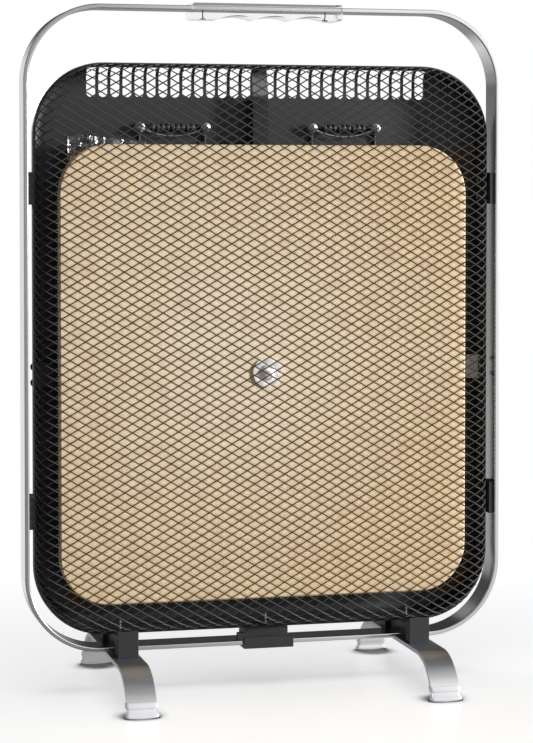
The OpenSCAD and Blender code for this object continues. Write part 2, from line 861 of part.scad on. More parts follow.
// Lead from a terminal down the rear wall to a height, then along the depth to another place
module wall_lead(turn_z, end_y) {
    r = lead_d / 2;
    top = term_z - lug_r - 1;
    tongue = 0.8 * lead_d;
    translate([0, 0, term_z]) lug(1);
    translate([-tongue / 2, lug_y - 2 * lug_t, top - 1])
        cube([tongue, lug_t, term_z - top + 1 - term_shank_r - 1]);
    translate([-tongue / 2, lug_y - 2 * lug_t, top - 2]) cube([tongue, lead_y - lug_y + 2 * lug_t, 2]);
    translate([0, lead_y, turn_z]) cylinder(r = r, h = top - turn_z);
    translate([0, lead_y, turn_z]) sphere(r);
    translate([0, 0, turn_z]) rod_y(r, min(lead_y, end_y), max(lead_y, end_y));
}

module heater_leads() {
    color("ivory") heater_lead_places() wall_lead(lead_turn_z, mat_back);
}

module supply_leads() {
    color("black") for (s = [-1, 1]) translate([s * lead_hole_x, 0, 0])
        wall_lead(box_zc, box_in_y + 5);
}

// Brackets between frame and shell

// Side bracket: a windowed plate on the strip and a boss against the shell's side wall
module side_bracket(right, up) {
    s = side_sign(right);
    window_y = strip_d / 2 - 7;
    color([0.08, 0.08, 0.08]) difference() {
        translate([0, 0, shell_zc + up * side_z]) mirror([right ? 0 : 1, 0, 0]) difference() {
            union() {
                translate([shell_w / 2 + 0.6, 2 - strip_d / 2, -side_h / 2])
                    cube([strip_in - shell_w / 2 - 0.6, strip_d - 2.4, side_h]);
                translate([wall_x, flange_rear + 0.3, -side_h / 2])
                    cube([strip_in - wall_x, strip_d / 2 - 0.4 - flange_rear - 0.3, side_h]);
            }
            translate([wall_x - past, -3, 4.5 - side_h / 2])
                cube([strip_in - wall_x + 2 * past, window_y + 3, side_h - 9]);
        }
        side_screw_places() cylinder(r = small_r + fit, h = side_screw_l + past);
    }
}

module side_bracket_upper_left() side_bracket(0, 1);
module side_bracket_upper_right() side_bracket(1, 1);
module side_bracket_lower_left() side_bracket(0, -1);
module side_bracket_lower_right() side_bracket(1, -1);

module side_bracket_screws() {
    color("silver") side_screw_places()
        screw(small_r, side_screw_l, small_head_r - 0.4, small_head_h);
}

// Support under the rim and, behind the rim's flange, under the shell's bottom wall
module rim_support(w, y0, y1, z0) {
    translate([-w / 2, y0, z0]) cube([w, flange_rear + 0.2 - y0, shell_z0 - z0]);
    translate([-w / 2, flange_rear + 0.2, z0])
        cube([w, y1 - flange_rear - 0.2, floor_z - z0]);
}

module base_screw_holes() {
    base_screw_places() cylinder(r = base_screw_d / 2 + fit, h = floor_z + past);
}

// Half the depth of the strip with the room round it
strip_room = strip_d / 2 + 0.2;

// Top block of the clamp with a small lug on its left
module clamp_top() {
    front = strip_d / 4;
    lug = [7, 6, 6.5];
    color([0.11, 0.11, 0.11]) difference() {
        union() {
            rim_support(clamp_w, -front, strip_d / 2, strip_up);
            translate([-clamp_w / 2 - lug[0], -front, strip_up]) cube(lug);
        }
        base_screw_holes();
    }
}

// Base of the clamp: a wall in front of the strip and a floor under it
module clamp_base() {
    front = strip_room + clamp_wall;
    color([0.15, 0.15, 0.15]) difference() {
        translate([-clamp_base_w / 2, -front, foot_h - clamp_floor]) {
            cube([clamp_base_w, front + clamp_rear - base_screw_front, clamp_floor]);
            cube([clamp_base_w, clamp_wall, clamp_floor + clamp_rise]);
        }
        base_screw_holes();
    }
}

// Foot bracket: its arm bridges the strip and carries the rim, and a raised toe stands on the
// foot in front of it and behind it
module foot_bracket(right) {
    w = foot_bracket_w;
    arm_w = w - 2 * toe_side;
    arm_y = toe_reach - toe_d;
    color([0.1, 0.1, 0.1]) difference() {
        translate([side_sign(right) * foot_bracket_x, 0, 0]) {
            rim_support(arm_w, -arm_y, arm_y, strip_up);
            for (rear = [0, 1]) mirror([0, rear, 0]) {
                translate([-arm_w / 2, -arm_y, foot_h]) cube([arm_w, arm_y - strip_room, strip_t]);
                across(-w / 2, w / 2) translate([-toe_reach, foot_h])
                    polygon([[0, 0], [toe_d, 0], [toe_d, toe_h - toe_slope], [0, toe_h]]);
            }
        }
        base_screw_holes();
    }
}

module foot_bracket_left() foot_bracket(0);
module foot_bracket_right() foot_bracket(1);

module base_screws() {
    tip = floor_z + sheet + base_screw_tip;
    color("gray") for (k = [-1, 0, 1]) {
        seat = foot_h - (k == 0 ? clamp_floor : foot_t);
        translate([k * foot_bracket_x, -base_screw_front, seat])
            screw(base_screw_d / 2, tip - seat, base_screw_d * 0.9, base_head_h);
    }
}

// Control box on the rear wall

module control_box() {
    w = box_w - 2 * box_wall;
    h = box_h - 2 * box_wall;
    color([0.1, 0.1, 0.1]) difference() {
        translate([0, 0, box_zc]) {
            difference() {
                between(back_y, box_back) rounded(box_w, box_h, box_r);
                between(box_in_y, box_back + past) rounded(w, h, box_r - box_wall);
            }
            for (x = [-1, 1], z = [-1, 1]) translate([x * boss_x, 0, z * boss_z])
                rod_y(boss_r, box_in_y - box_wall / 2, box_back);
        }
        cover_screw_places() rod_y(small_r + fit, cover_back - cover_screw_l - 1, box_back + past);
        box_screw_places() rod_y(small_r + fit, back_y - past, box_in_y + past);
        lead_holes(lead_d / 2 + fit);
        translate([knob_x, 0, 0]) inlet_hole();
    }
}

inlet_y = (box_in_y + box_back) / 2;
inlet_r = inlet_bore / 2 + 2.2;
inlet_flange = 3;

module inlet_hole() {
    translate([0, inlet_y, inlet_z - past])
        cylinder(r = inlet_r + fit, h = box_wall + 2 * past);
}

module cover_screw_places() {
    for (x = [-1, 1], z = [-1, 1]) translate([x * boss_x, 0, box_zc + z * boss_z]) children();
}

module switch_places() {
    for (k = [0, 1]) translate([rocker_x + k * rocker_pitch, 0, rocker_z]) children();
}

module control_cover() {
    color([0.13, 0.13, 0.13]) difference() {
        translate([0, 0, box_zc]) between(box_back, cover_back) rounded(box_w, box_h, box_r);
        cover_screw_places() rod_y(small_r + fit, box_back - past, cover_back + past);
        translate([knob_x, 0, box_zc]) rod_y(bushing_r + fit, box_back - past, cover_back + past);
        switch_places() between(box_back - past, cover_back + past)
            square([switch_w + 2 * fit, switch_h + 2 * fit], center = true);
        translate([lamp_x, 0, lamp_z]) rod_y(lamp_d / 2 + fit, box_back - past, cover_back + past);
    }
}

module box_wall_screws() {
    color("gray") box_screw_places() translate([0, box_in_y, 0]) rotate([90, 0, 0])
        screw(small_r, box_wall + sheet + 2, small_head_r, small_head_h);
}

module cover_screws() {
    color("gray") cover_screw_places() translate([0, cover_back, 0]) rotate([90, 0, 0])
        screw(small_r, cover_screw_l, small_head_r, small_head_h);
}

module thermostat_body() {
    color("tan") translate([knob_x, 0, box_zc]) difference() {
        union() {
            rod_y(body_r, box_back - body_l, box_back);
            rod_y(bushing_r, box_back - past, cover_back);
        }
        rod_y(shaft_d / 2 + running, cover_back - shaft_in - 0.2, cover_back + past);
    }
}

module thermostat_shaft() {
    color("silver") translate([knob_x, 0, box_zc])
        rod_y(shaft_d / 2, cover_back - shaft_in, cover_back + knob_gap + knob_h - knob_cap);
}

// Knob with finger flutes and a raised pointer
module thermostat_knob() {
    y0 = cover_back + knob_gap;
    flutes = 16;
    r = knob_d / 2;
    color([0.09, 0.09, 0.09]) translate([knob_x, 0, box_zc]) difference() {
        union() {
            rod_y(r, y0, y0 + knob_h - 2);
            rod_y(r - 2, y0 + knob_h - 2 - past, y0 + knob_h);
            translate([-1, y0 + knob_h - past, 0]) cube([2, past + 1, r - 4]);
        }
        rod_y(shaft_d / 2 + 0.02, y0 - past, y0 + knob_h - knob_cap + 0.05);
        for (k = [0:flutes - 1]) rotate([0, 360 * (k + 0.5) / flutes, 0])
            translate([r + 1.2, 0, 0]) rod_y(2.4, y0 + 3, y0 + knob_h + past);
    }
}

module rocker_housing(k) {
    w = switch_w + 2 * bezel;
    h = switch_h + 2 * bezel;
    color([0.06, 0.06, 0.06]) translate([rocker_x + k * rocker_pitch, 0, rocker_z]) difference() {
        union() {
            between(cover_back - switch_d, cover_back) square([switch_w, switch_h], center = true);
            between(cover_back, cover_back + bezel) rounded(w, h, bezel);
        }
        between(cover_back - switch_d + switch_wall, cover_back + bezel + past)
            square([switch_in_w, switch_in_h], center = true);
        translate([0, pivot_y, 0]) rod_x(pin_d / 2 + running, -w, w);
    }
}

module rocker_housing_left() rocker_housing(0);
module rocker_housing_right() rocker_housing(1);

// Rocker with its pins, resting tilted to its off side
module rocker(k) {
    l = rocker_l;
    color([0.75, 0.1, 0.08]) translate([rocker_x + k * rocker_pitch, pivot_y, rocker_z]) {
        rotate([rocker_tilt, 0, 0]) across(-rocker_w / 2, rocker_w / 2)
            polygon([[6.5, -l], [4.7, 0], [6.5, l], [1, l], [-3, l / 2], [-3, -l / 2], [1, -l]]);
        rod_x(pin_d / 2, 0.2 - switch_w / 2, switch_w / 2 - 0.2);
    }
}

module rocker_left() rocker(0);
module rocker_right() rocker(1);

module indicator_lamp() {
    r = lamp_d / 2;
    color("orange") translate([lamp_x, 0, lamp_z]) {
        rod_y(r, box_back - 12, cover_back + 1);
        rod_y(r + 1.2, cover_back, cover_back + 1);
        translate([0, cover_back + 1, 0]) intersection() {
            sphere(r);
            rod_y(r + past, 0, r);
        }
    }
}

module tilt_switch() {
    color("dimgray") translate([lamp_x - tilt_size[0] / 2, box_in_y, box_zc - boss_z])
        cube(tilt_size);
}

module thermal_cutout() {
    r = 8;
    color("goldenrod") translate([0, 0, box_zc + box_h]) {
        rod_y(r, wall_y - 6, wall_y);
        between(wall_y - 1, wall_y) rounded(3.4 * r, 1.4 * r, r / 2);
    }
}

module cord_inlet() {
    color("black") translate([knob_x, inlet_y, inlet_z]) difference() {
        union() {
            translate([0, 0, -inlet_flange]) cylinder(r = inlet_r + 2.5, h = inlet_flange);
            translate([0, 0, -inlet_flange - 8]) cylinder(r1 = inlet_r - 0.8, r2 = inlet_r, h = 8);
            cylinder(r = inlet_r, h = box_wall + 4);
        }
        translate([0, 0, -inlet_flange - 8 - past])
            cylinder(d = inlet_bore, h = inlet_flange + 8 + box_wall + 4 + 2 * past);
    }
}

frame_loop();
handle_grip();
handle_screws();
rear_shell();
mesh_cover();
stone_plate();
plate_washer();
plate_bolt();
plate_nut();
heater_mat();
insulation_pad();
cross_bar();
cross_bar_screws();
hanger_strap();
strap_rivets();
terminal_standoffs();
terminal_screws();
bead_lead_left();
bead_lead_right();
bridge_wire_left();
bridge_wire_right();
heater_leads();
supply_leads();
side_bracket_upper_left();
side_bracket_upper_right();
side_bracket_lower_left();
side_bracket_lower_right();
side_bracket_screws();
clamp_top();
clamp_base();
foot_bracket_left();
foot_bracket_right();
base_screws();
foot_strip_left();
foot_strip_right();
foot_cap_front_left();
foot_cap_front_right();
foot_cap_rear_left();
foot_cap_rear_right();
control_box();
control_cover();
box_wall_screws();
cover_screws();
thermostat_body();
thermostat_shaft();
thermostat_knob();
rocker_housing_left();
rocker_housing_right();
rocker_left();
rocker_right();
indicator_lamp();
tilt_switch();
thermal_cutout();
cord_inlet();
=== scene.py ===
import math

import bmesh
import bpy
from mathutils import Matrix, Vector, noise


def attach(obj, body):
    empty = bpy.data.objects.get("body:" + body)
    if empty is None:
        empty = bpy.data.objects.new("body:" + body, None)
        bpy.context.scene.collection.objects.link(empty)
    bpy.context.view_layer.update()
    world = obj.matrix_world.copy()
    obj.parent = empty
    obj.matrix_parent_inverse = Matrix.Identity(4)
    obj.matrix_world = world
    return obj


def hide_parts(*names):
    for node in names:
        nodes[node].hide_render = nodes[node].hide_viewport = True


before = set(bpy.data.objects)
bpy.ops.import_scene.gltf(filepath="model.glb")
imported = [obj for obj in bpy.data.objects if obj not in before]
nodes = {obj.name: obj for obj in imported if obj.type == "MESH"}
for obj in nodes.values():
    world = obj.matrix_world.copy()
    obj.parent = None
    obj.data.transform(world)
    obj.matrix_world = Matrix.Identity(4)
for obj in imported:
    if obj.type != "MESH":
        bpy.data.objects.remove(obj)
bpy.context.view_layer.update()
mm = 0.001
print("radiator frame in place:", len(nodes), "nodes")

# The view: a long lens a little to the left, its axis above the middle of the picture
photoView = {"lens": 110.85, "place": (-0.57013, -2.27851, 0.51429), "tip": 88.0, "turn": -14.106,
             "shiftY": -0.1454}
camData = bpy.data.cameras.new("photoCamera")
camData.lens = photoView["lens"]
camData.shift_y = photoView["shiftY"]
camera = bpy.data.objects.new("photoCamera", camData)
camera.location = photoView["place"]
camera.rotation_euler = (math.radians(photoView["tip"]), 0, math.radians(photoView["turn"]))
bpy.context.collection.objects.link(camera)
bpy.context.scene.camera = camera


# Finishes: each starts from one shader and gets its pattern from object coordinates

def startFinish(name, **sockets):
    finish = bpy.data.materials.new(name)
    finish.use_nodes = True
    tree = finish.node_tree
    shader = tree.nodes["Principled BSDF"]
    for socket, value in sockets.items():
        shader.inputs[socket.replace("_", " ")].default_value = value
    place = tree.nodes.new("ShaderNodeTexCoord").outputs["Object"]
    return finish, tree, shader, place


def stretched(tree, place, scale):
    mapping = tree.nodes.new("ShaderNodeMapping")
    mapping.inputs["Scale"].default_value = scale
    tree.links.new(place, mapping.inputs["Vector"])
    return mapping.outputs["Vector"]


def noiseOn(tree, place, scale, detail=4.0, roughness=0.55):
    tex = tree.nodes.new("ShaderNodeTexNoise")
    tex.inputs["Scale"].default_value = scale
    tex.inputs["Detail"].default_value = detail
    tex.inputs["Roughness"].default_value = roughness
    tree.links.new(place, tex.inputs["Vector"])
    return tex.outputs["Fac"]


def rampOn(tree, value, *stops):
    ramp = tree.nodes.new("ShaderNodeValToRGB")
    marks = ramp.color_ramp.elements
    while len(marks) < len(stops):
        marks.new(0.5)
    for mark, (at, shade) in zip(marks, stops):
        mark.position = at
        mark.color = (*shade, 1) if isinstance(shade, tuple) else (shade, shade, shade, 1)
    tree.links.new(value, ramp.inputs["Fac"])
    return ramp.outputs["Color"]


def feed(tree, socket, value):
    if isinstance(value, (int, float, tuple)):
        socket.default_value = value
    else:
        tree.links.new(value, socket)


def mathOn(tree, operation, *values, kind="Math", result="Value"):
    node = tree.nodes.new("ShaderNode" + kind)
    node.operation = operation
    for socket, value in zip(node.inputs, values):
        feed(tree, socket, value)
    return node.outputs[result]


def mapOn(tree, value, fromLow, fromHigh, low=0.0, high=1.0, course="LINEAR"):
    node = tree.nodes.new("ShaderNodeMapRange")
    node.interpolation_type = course
    for socket, number in zip(node.inputs, (value, fromLow, fromHigh, low, high)):
        feed(tree, socket, number)
    return node.outputs["Result"]


def mixOn(tree, factor, low, high, kind="FLOAT", blend="MIX"):
    node = tree.nodes.new("ShaderNodeMix")
    node.data_type = kind
    node.blend_type = blend
    for socket, value in (("Factor", factor), ("A", low), ("B", high)):
        feed(tree, node.inputs[socket], value)
    return node.outputs["Result"]


def axesOf(tree, place):
    axes = tree.nodes.new("ShaderNodeSeparateXYZ")
    tree.links.new(place, axes.inputs["Vector"])
    return axes.outputs


def bumpOn(tree, shader, height, strength, distance):
    bump = tree.nodes.new("ShaderNodeBump")
    bump.inputs["Strength"].default_value = strength
    bump.inputs["Distance"].default_value = distance
    tree.links.new(height, bump.inputs["Height"])
    tree.links.new(bump.outputs["Normal"], shader.inputs["Normal"])


def aluminiumFinish(name, bright, rough, streak, paintedShade=None):
    finish, tree, shader, place = startFinish(name, Metallic=1.0)
    # fine brush lines: quick change across them, slow change along them
    lines = noiseOn(tree, stretched(tree, place, streak), 1.0, 6.0, 0.7)
    low, high = bright
    tint = rampOn(tree, lines, (0.25, (low, low, low * 1.01)), (0.75, (high, high, high * 1.01)))
    if paintedShade:
        # painted shade: darker towards the top
        height = mapOn(tree, axesOf(tree, place)["Z"], paintedShade["low"], paintedShade["high"])
        tint = mathOn(tree, "MULTIPLY", tint, rampOn(tree, height, *paintedShade["stops"]),
                      kind="VectorMath", result="Vector")
    tree.links.new(tint, shader.inputs["Base Color"])
    tree.links.new(rampOn(tree, lines, (0.2, rough[0]), (0.8, rough[1])), shader.inputs["Roughness"])
    bumpOn(tree, shader, lines, 0.06, 0.0004)
    return finish


def enamelFinish(name, dark, light, rough, grain, shine=0.5):
    finish, tree, shader, place = startFinish(name, Specular_IOR_Level=shine)
    cloud = noiseOn(tree, place, 14.0, 5.0)
    peel = noiseOn(tree, place, grain, 2.0)
    tree.links.new(rampOn(tree, cloud, (0.3, dark), (0.7, light)), shader.inputs["Base Color"])
    tree.links.new(rampOn(tree, peel, (0.3, rough[0]), (0.7, rough[1])), shader.inputs["Roughness"])
    bumpOn(tree, shader, peel, 0.12, 0.0003)
    return finish


# Painted light: the net is tinted warm brown where it stands in front of the plate, standing in for the
# plate's warm light on its strands
paintedPlateLight = {"tint": (0.056, 0.026, 0.006), "halfX": 0.214, "halfZ": 0.2325, "midZ": 0.3212,
           "fadeIn": 0.012, "fadeOut": 0.004}


def plateLitEnamel(name, dark, light):
    finish = enamelFinish(name, dark, light, (0.56, 0.68), 1200.0, shine=0.3)
    tree = finish.node_tree
    base = tree.nodes["Principled BSDF"].inputs["Base Color"]
    plain = base.links[0].from_socket
    axes = axesOf(tree, tree.nodes.new("ShaderNodeTexCoord").outputs["Object"])

    def inFront(axis, middle, half):
        off = mathOn(tree, "ABSOLUTE", mathOn(tree, "SUBTRACT", axes[axis], middle))
        return mapOn(tree, off, half - paintedPlateLight["fadeIn"], half + paintedPlateLight["fadeOut"], 1.0, 0.0)

    # painted light: strands in front of the plate take on its warm colour
    overPlate = mathOn(tree, "MULTIPLY", inFront("X", 0.0, paintedPlateLight["halfX"]),
                  inFront("Z", paintedPlateLight["midZ"], paintedPlateLight["halfZ"]))
    tree.links.new(mixOn(tree, overPlate, plain, (*paintedPlateLight["tint"], 1), "RGBA"), base)
    return finish


# Painted sheen and light: the plate is paler round one point, a broad highlight painted into its colour and
# set left of the middle to even out the key's light, and warmer towards its edges
stone = {"sheenCentre": (-0.06, -0.0125, 0.36), "unevenness": 0.25}


def stoneFinish(name):
    finish, tree, shader, place = startFinish(name, Specular_IOR_Level=0.25)
    broad = noiseOn(tree, place, 5.0, 3.0)
    cells = noiseOn(tree, place, 60.0, 5.0, 0.65)
    speck = noiseOn(tree, place, 420.0, 3.0, 0.7)
    # painted sheen: paler towards one point, warmer towards the edges
    away = mathOn(tree, "DISTANCE", place, stone["sheenCentre"], kind="VectorMath")
    spread = mathOn(tree, "MULTIPLY_ADD", broad, stone["unevenness"], away)
    base = rampOn(tree, spread, (0.12, (0.90, 0.785, 0.61)), (0.26, (0.86, 0.71, 0.505)),
                  (0.42, (0.80, 0.615, 0.385)))
    mottle = rampOn(tree, cells, (0.35, (0.93, 0.88, 0.84)), (0.5, (1.0, 1.0, 1.0)),
                    (0.68, (1.04, 1.03, 0.95)))
    grain = rampOn(tree, speck, (0.32, 0.86), (0.5, 1.0))
    for layer in (mottle, grain):
        base = mixOn(tree, 1.0, base, layer, "RGBA", "MULTIPLY")
    tree.links.new(base, shader.inputs["Base Color"])
    tree.links.new(rampOn(tree, speck, (0.3, 0.78), (0.7, 0.62)), shader.inputs["Roughness"])
    bumpOn(tree, shader, speck, 0.25, 0.0003)
    return finish


def metalFinish(name, low, high, rough, scale=300.0, metal=1.0):
    finish, tree, shader, place = startFinish(name, Metallic=metal)
    marks = noiseOn(tree, place, scale, 4.0, 0.6)
    tree.links.new(rampOn(tree, marks, (0.3, low), (0.7, high)), shader.inputs["Base Color"])
    tree.links.new(rampOn(tree, marks, (0.3, rough[0]), (0.7, rough[1])), shader.inputs["Roughness"])
    return finish


def plasticFinish(name, dark, light, rough, grain=1400.0, bumpBy=0.2, **sockets):
    finish, tree, shader, place = startFinish(name, **sockets)
    cloud = noiseOn(tree, place, 30.0, 3.0)
    fine = noiseOn(tree, place, grain, 2.0)
    tree.links.new(rampOn(tree, cloud, (0.3, dark), (0.7, light)), shader.inputs["Base Color"])
    tree.links.new(rampOn(tree, fine, (0.3, rough[0]), (0.7, rough[1])), shader.inputs["Roughness"])
    bumpOn(tree, shader, fine, bumpBy, 0.0002)
    return finish


# painted shade: the feet turn a little bluer and then darker between two heights on their legs, standing in
# for the dark things their tops mirror
footTopShade = {"low": 0.024, "high": 0.042, "stops": [(0.0, 1.0), (0.35, (1.0, 1.04, 1.10)),
                                                  (0.7, (0.80, 0.86, 0.97)), (1.0, (0.55, 0.58, 0.64))]}
stripFinish = aluminiumFinish("satinStrip", (0.63, 0.71), (0.15, 0.21), (5.0, 900.0, 5.0))
footFinish = aluminiumFinish("brushedFoot", (0.56, 0.63), (0.32, 0.42), (6.0, 700.0, 700.0), footTopShade)
shellFinish = enamelFinish("shellEnamel", (0.017, 0.017, 0.018), (0.0215, 0.0215, 0.0225), (0.46, 0.56),
                           900.0)
netFinish = plateLitEnamel("netEnamel", (0.020, 0.020, 0.021), (0.026, 0.026, 0.027))
plateFinish = stoneFinish("heatStone")
zincFinish = metalFinish("zincScrew", (0.28, 0.28, 0.275), (0.38, 0.38, 0.37), (0.40, 0.50))
brightFinish = metalFinish("brightWasher", (0.90, 0.90, 0.88), (0.97, 0.97, 0.95), (0.28, 0.40), metal=0.2)
dullFinish = metalFinish("dullSteel", (0.13, 0.13, 0.13), (0.20, 0.20, 0.20), (0.40, 0.52))
foilFinish = metalFinish("foil", (0.17, 0.175, 0.185), (0.25, 0.255, 0.27), (0.10, 0.16), 90.0)
blackScrewFinish = enamelFinish("blackScrew", (0.012, 0.012, 0.012), (0.02, 0.02, 0.02), (0.35, 0.5), 1500.0)
bracketFinish = plasticFinish("mouldedBlack", (0.010, 0.010, 0.011), (0.016, 0.016, 0.017), (0.46, 0.58),
                              Specular_IOR_Level=0.35)
boxFinish = plasticFinish("grainedBlack", (0.014, 0.014, 0.015), (0.022, 0.022, 0.023), (0.45, 0.6),
                          900.0, 0.35)
# painted light: the caps glow a little, though there is no lamp in them
glowingCapFinish = plasticFinish("glowingCap", (0.345, 0.345, 0.36), (0.385, 0.385, 0.40), (0.20, 0.30), 800.0, 0.06,
                          Emission_Color=(0.98, 0.98, 1.0, 1), Emission_Strength=0.25)
gripFinish = plasticFinish("clearGrip", (0.86, 0.86, 0.875), (0.90, 0.90, 0.91), (0.02, 0.06), 500.0, 0.03,
                           Transmission_Weight=1.0, IOR=1.03)
ceramicFinish = plasticFinish("matCeramic", (0.66, 0.63, 0.56), (0.76, 0.73, 0.66), (0.5, 0.65), 700.0)
beadFinish = plasticFinish("darkBead", (0.030, 0.028, 0.026), (0.060, 0.055, 0.050), (0.35, 0.5), 900.0)
sleeveFinish = plasticFinish("blackSleeve", (0.012, 0.012, 0.012), (0.022, 0.021, 0.020), (0.5, 0.65),
                             1800.0, 0.6)
filmFinish = plasticFinish("heaterFilm", (0.26, 0.09, 0.05), (0.34, 0.12, 0.07), (0.35, 0.5))
tanFinish = plasticFinish("mouldedTan", (0.42, 0.30, 0.16), (0.50, 0.37, 0.21), (0.45, 0.6))
redFinish = plasticFinish("rockerRed", (0.42, 0.018, 0.014), (0.50, 0.028, 0.02), (0.22, 0.32), 600.0, 0.05)
amberFinish = plasticFinish("lampAmber", (0.75, 0.30, 0.03), (0.85, 0.36, 0.05), (0.08, 0.15), 500.0, 0.05,
                            Transmission_Weight=0.6)
printFinish = plasticFinish("palePrint", (0.66, 0.66, 0.64), (0.76, 0.76, 0.74), (0.5, 0.62))
greyFinish = plasticFinish("mouldedGrey", (0.20, 0.21, 0.22), (0.27, 0.28, 0.29), (0.45, 0.6))


def shadedAlong(name, axis, start, end, litEnd):
    # painted shade: steel that is near black at one end and grey at the other, the dark end standing in for
    # shade that falls there
    finish, tree, shader, place = startFinish(name, Specular_IOR_Level=0.35)
    along = mapOn(tree, axesOf(tree, place)[axis], start, end)
    marks = noiseOn(tree, place, 400.0)
    tree.links.new(rampOn(tree, along, (0.0, 0.010), (1.0, litEnd)), shader.inputs["Base Color"])
    tree.links.new(rampOn(tree, marks, (0.3, 0.42), (0.7, 0.58)), shader.inputs["Roughness"])
    return finish


# painted shade: the strap is grey above the slots and near black below, where it stands in shade
strapFinish = shadedAlong("strapSteel", "Z", 0.603, 0.606, 0.17)
# painted shade: the bar's left end, in the plate's shadow, is near black
barFinish = shadedAlong("barSteel", "X", -0.18, -0.17, 0.50)
brassFinish = metalFinish("plainBrass", (0.52, 0.38, 0.14), (0.66, 0.50, 0.20), (0.3, 0.45))

nodeFinish = {
    "frame_loop": stripFinish, "foot_strip_left": footFinish, "foot_strip_right": footFinish,
    "handle_grip": gripFinish, "handle_screws": zincFinish, "rear_shell": shellFinish,
    "mesh_cover": netFinish, "stone_plate": plateFinish, "plate_washer": brightFinish,
    "plate_bolt": brightFinish, "plate_nut": zincFinish, "heater_mat": filmFinish,
    "insulation_pad": foilFinish, "cross_bar": barFinish, "hanger_strap": strapFinish,
    "cross_bar_screws": blackScrewFinish, "strap_rivets": blackScrewFinish,
    "terminal_standoffs": ceramicFinish, "terminal_screws": zincFinish, "side_bracket_screws": dullFinish,
    "base_screws": dullFinish, "bead_lead_left": beadFinish, "bead_lead_right": beadFinish,
    "bridge_wire_left": zincFinish, "bridge_wire_right": zincFinish, "heater_leads": sleeveFinish,
    "supply_leads": sleeveFinish, "control_box": boxFinish, "control_cover": boxFinish,
    "box_wall_screws": zincFinish, "cover_screws": blackScrewFinish, "thermostat_body": tanFinish,
    "thermostat_shaft": zincFinish, "thermostat_knob": boxFinish, "rocker_housing_left": boxFinish,
    "rocker_housing_right": boxFinish, "rocker_left": redFinish, "rocker_right": redFinish,
    "indicator_lamp": amberFinish, "tilt_switch": greyFinish, "thermal_cutout": brassFinish,
    "cord_inlet": boxFinish, "clamp_top": bracketFinish, "clamp_base": bracketFinish,
}
for name, node in nodes.items():
    if "bracket" in name and name not in nodeFinish:
        nodeFinish[name] = bracketFinish
    if "cap" in name:
        nodeFinish[name] = glowingCapFinish
    node.data.materials.clear()
    node.data.materials.append(nodeFinish[name])
print("finishes on every node")


def newPiece(name, bm, finish, body, *stands, slot=None, smooth=None):
    mesh = bpy.data.meshes.new(name)
    bm.to_mesh(mesh)
    bm.free()
    if smooth:
        mesh.shade_smooth()
        mesh.set_sharp_from_angle(angle=math.radians(smooth))
    piece = bpy.data.objects.new(name, mesh)
    bpy.context.collection.objects.link(piece)
    mesh.materials.append(finish)
    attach(piece, body)
    if stands:
        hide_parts(*stands)
    return piece


# Expanded-metal cover: a diamond net that rolls back into the shell's rim
net = {"long": 15.8 * mm, "short": 9.25 * mm, "strand": 1.08 * mm, "lean": 0.55 * mm, "thick": 0.7 * mm,
       "front": -23.2 * mm, "flatW": 442.2 * mm, "flatH": 541.2 * mm, "flatR": 53.6 * mm,
       "roll": 16.2 * mm, "skirt": 8.5 * mm, "midZ": 347 * mm}


def overEdge(x, z):
    # distance past the flat area's rounded outline, and which way it runs out
    flatX, flatZ, r = net["flatW"] / 2 - net["flatR"], net["flatH"] / 2 - net["flatR"], net["flatR"]
    out = Vector((max(abs(x) - flatX, 0), max(abs(z) - flatZ, 0)))
    if out.length < 1e-9:
        return -r, Vector((0, 0))
    way = Vector((math.copysign(out.x, x), math.copysign(out.y, z))) / out.length
    return out.length - r, way


def rolledPoint(x, z, lean):
    past, way = overEdge(x, z)
    roll = net["roll"]
    if past <= 0:
        return Vector((x, net["front"] + lean, z + net["midZ"]))
    past = min(past, roll * math.pi / 2 + net["skirt"])
    turn = min(past / roll, math.pi / 2)
    reach = (roll - lean) * math.sin(turn) - past
    back = roll - (roll - lean) * math.cos(turn) + max(past - roll * math.pi / 2, 0)
    # past the roll the skirt runs straight back
    flat = Vector((x, z)) - way * max(overEdge(x, z)[0] - past, 0) + way * reach
    return Vector((flat.x, net["front"] + back, flat.y + net["midZ"]))


def buildNet():
    reach = net["roll"] * math.pi / 2 + net["skirt"]
    across, upward = net["flatW"] / 2 + reach, net["flatH"] / 2 + reach
    count = 2 * math.ceil(across / net["long"] + upward / net["short"])
    bm = bmesh.new()
    bmesh.ops.create_grid(bm, x_segments=count, y_segments=count, size=count / 2)
    bmesh.ops.rotate(bm, verts=bm.verts, cent=(0, 0, 0), matrix=Matrix.Rotation(math.pi / 4, 3, "Z"))
    step = math.sqrt(2)
    bmesh.ops.scale(bm, verts=bm.verts, vec=(net["long"] / step, net["short"] / step, 1))
    far = [f for f in bm.faces if overEdge(*f.calc_center_median().xy)[0] > reach]
    bmesh.ops.delete(bm, geom=far, context="FACES")
    knots = set(bm.verts)
    holes = list(bm.faces)
    bmesh.ops.inset_individual(bm, faces=holes, thickness=net["strand"] / 2, use_even_offset=True)
    # each strand leans: its upper edge goes back, its lower edge comes forward
    leans = {}
    for hole in holes:
        mid = hole.calc_center_median()
        half = max(abs(v.co.y - mid.y) for v in hole.verts)
        for v in hole.verts:
            leans[v] = -net["lean"] * (v.co.y - mid.y) / half
    bmesh.ops.delete(bm, geom=holes, context="FACES_ONLY")
    for v in bm.verts:
        v.co = rolledPoint(v.co.x, v.co.y, 0 if v in knots else leans.get(v, 0))
    bmesh.ops.recalc_face_normals(bm, faces=bm.faces)
    return bm


netPiece = newPiece("meshNet", buildNet(), netFinish, "heater", "mesh_cover", slot="mesh_enamel")
wall = netPiece.modifiers.new("wall", "SOLIDIFY")
wall.thickness = net["thick"]
wall.offset = 0
print("net woven:", len(netPiece.data.polygons), "strand faces")


# Tools for the moulded, turned and screwed pieces; their sizes are in millimetres

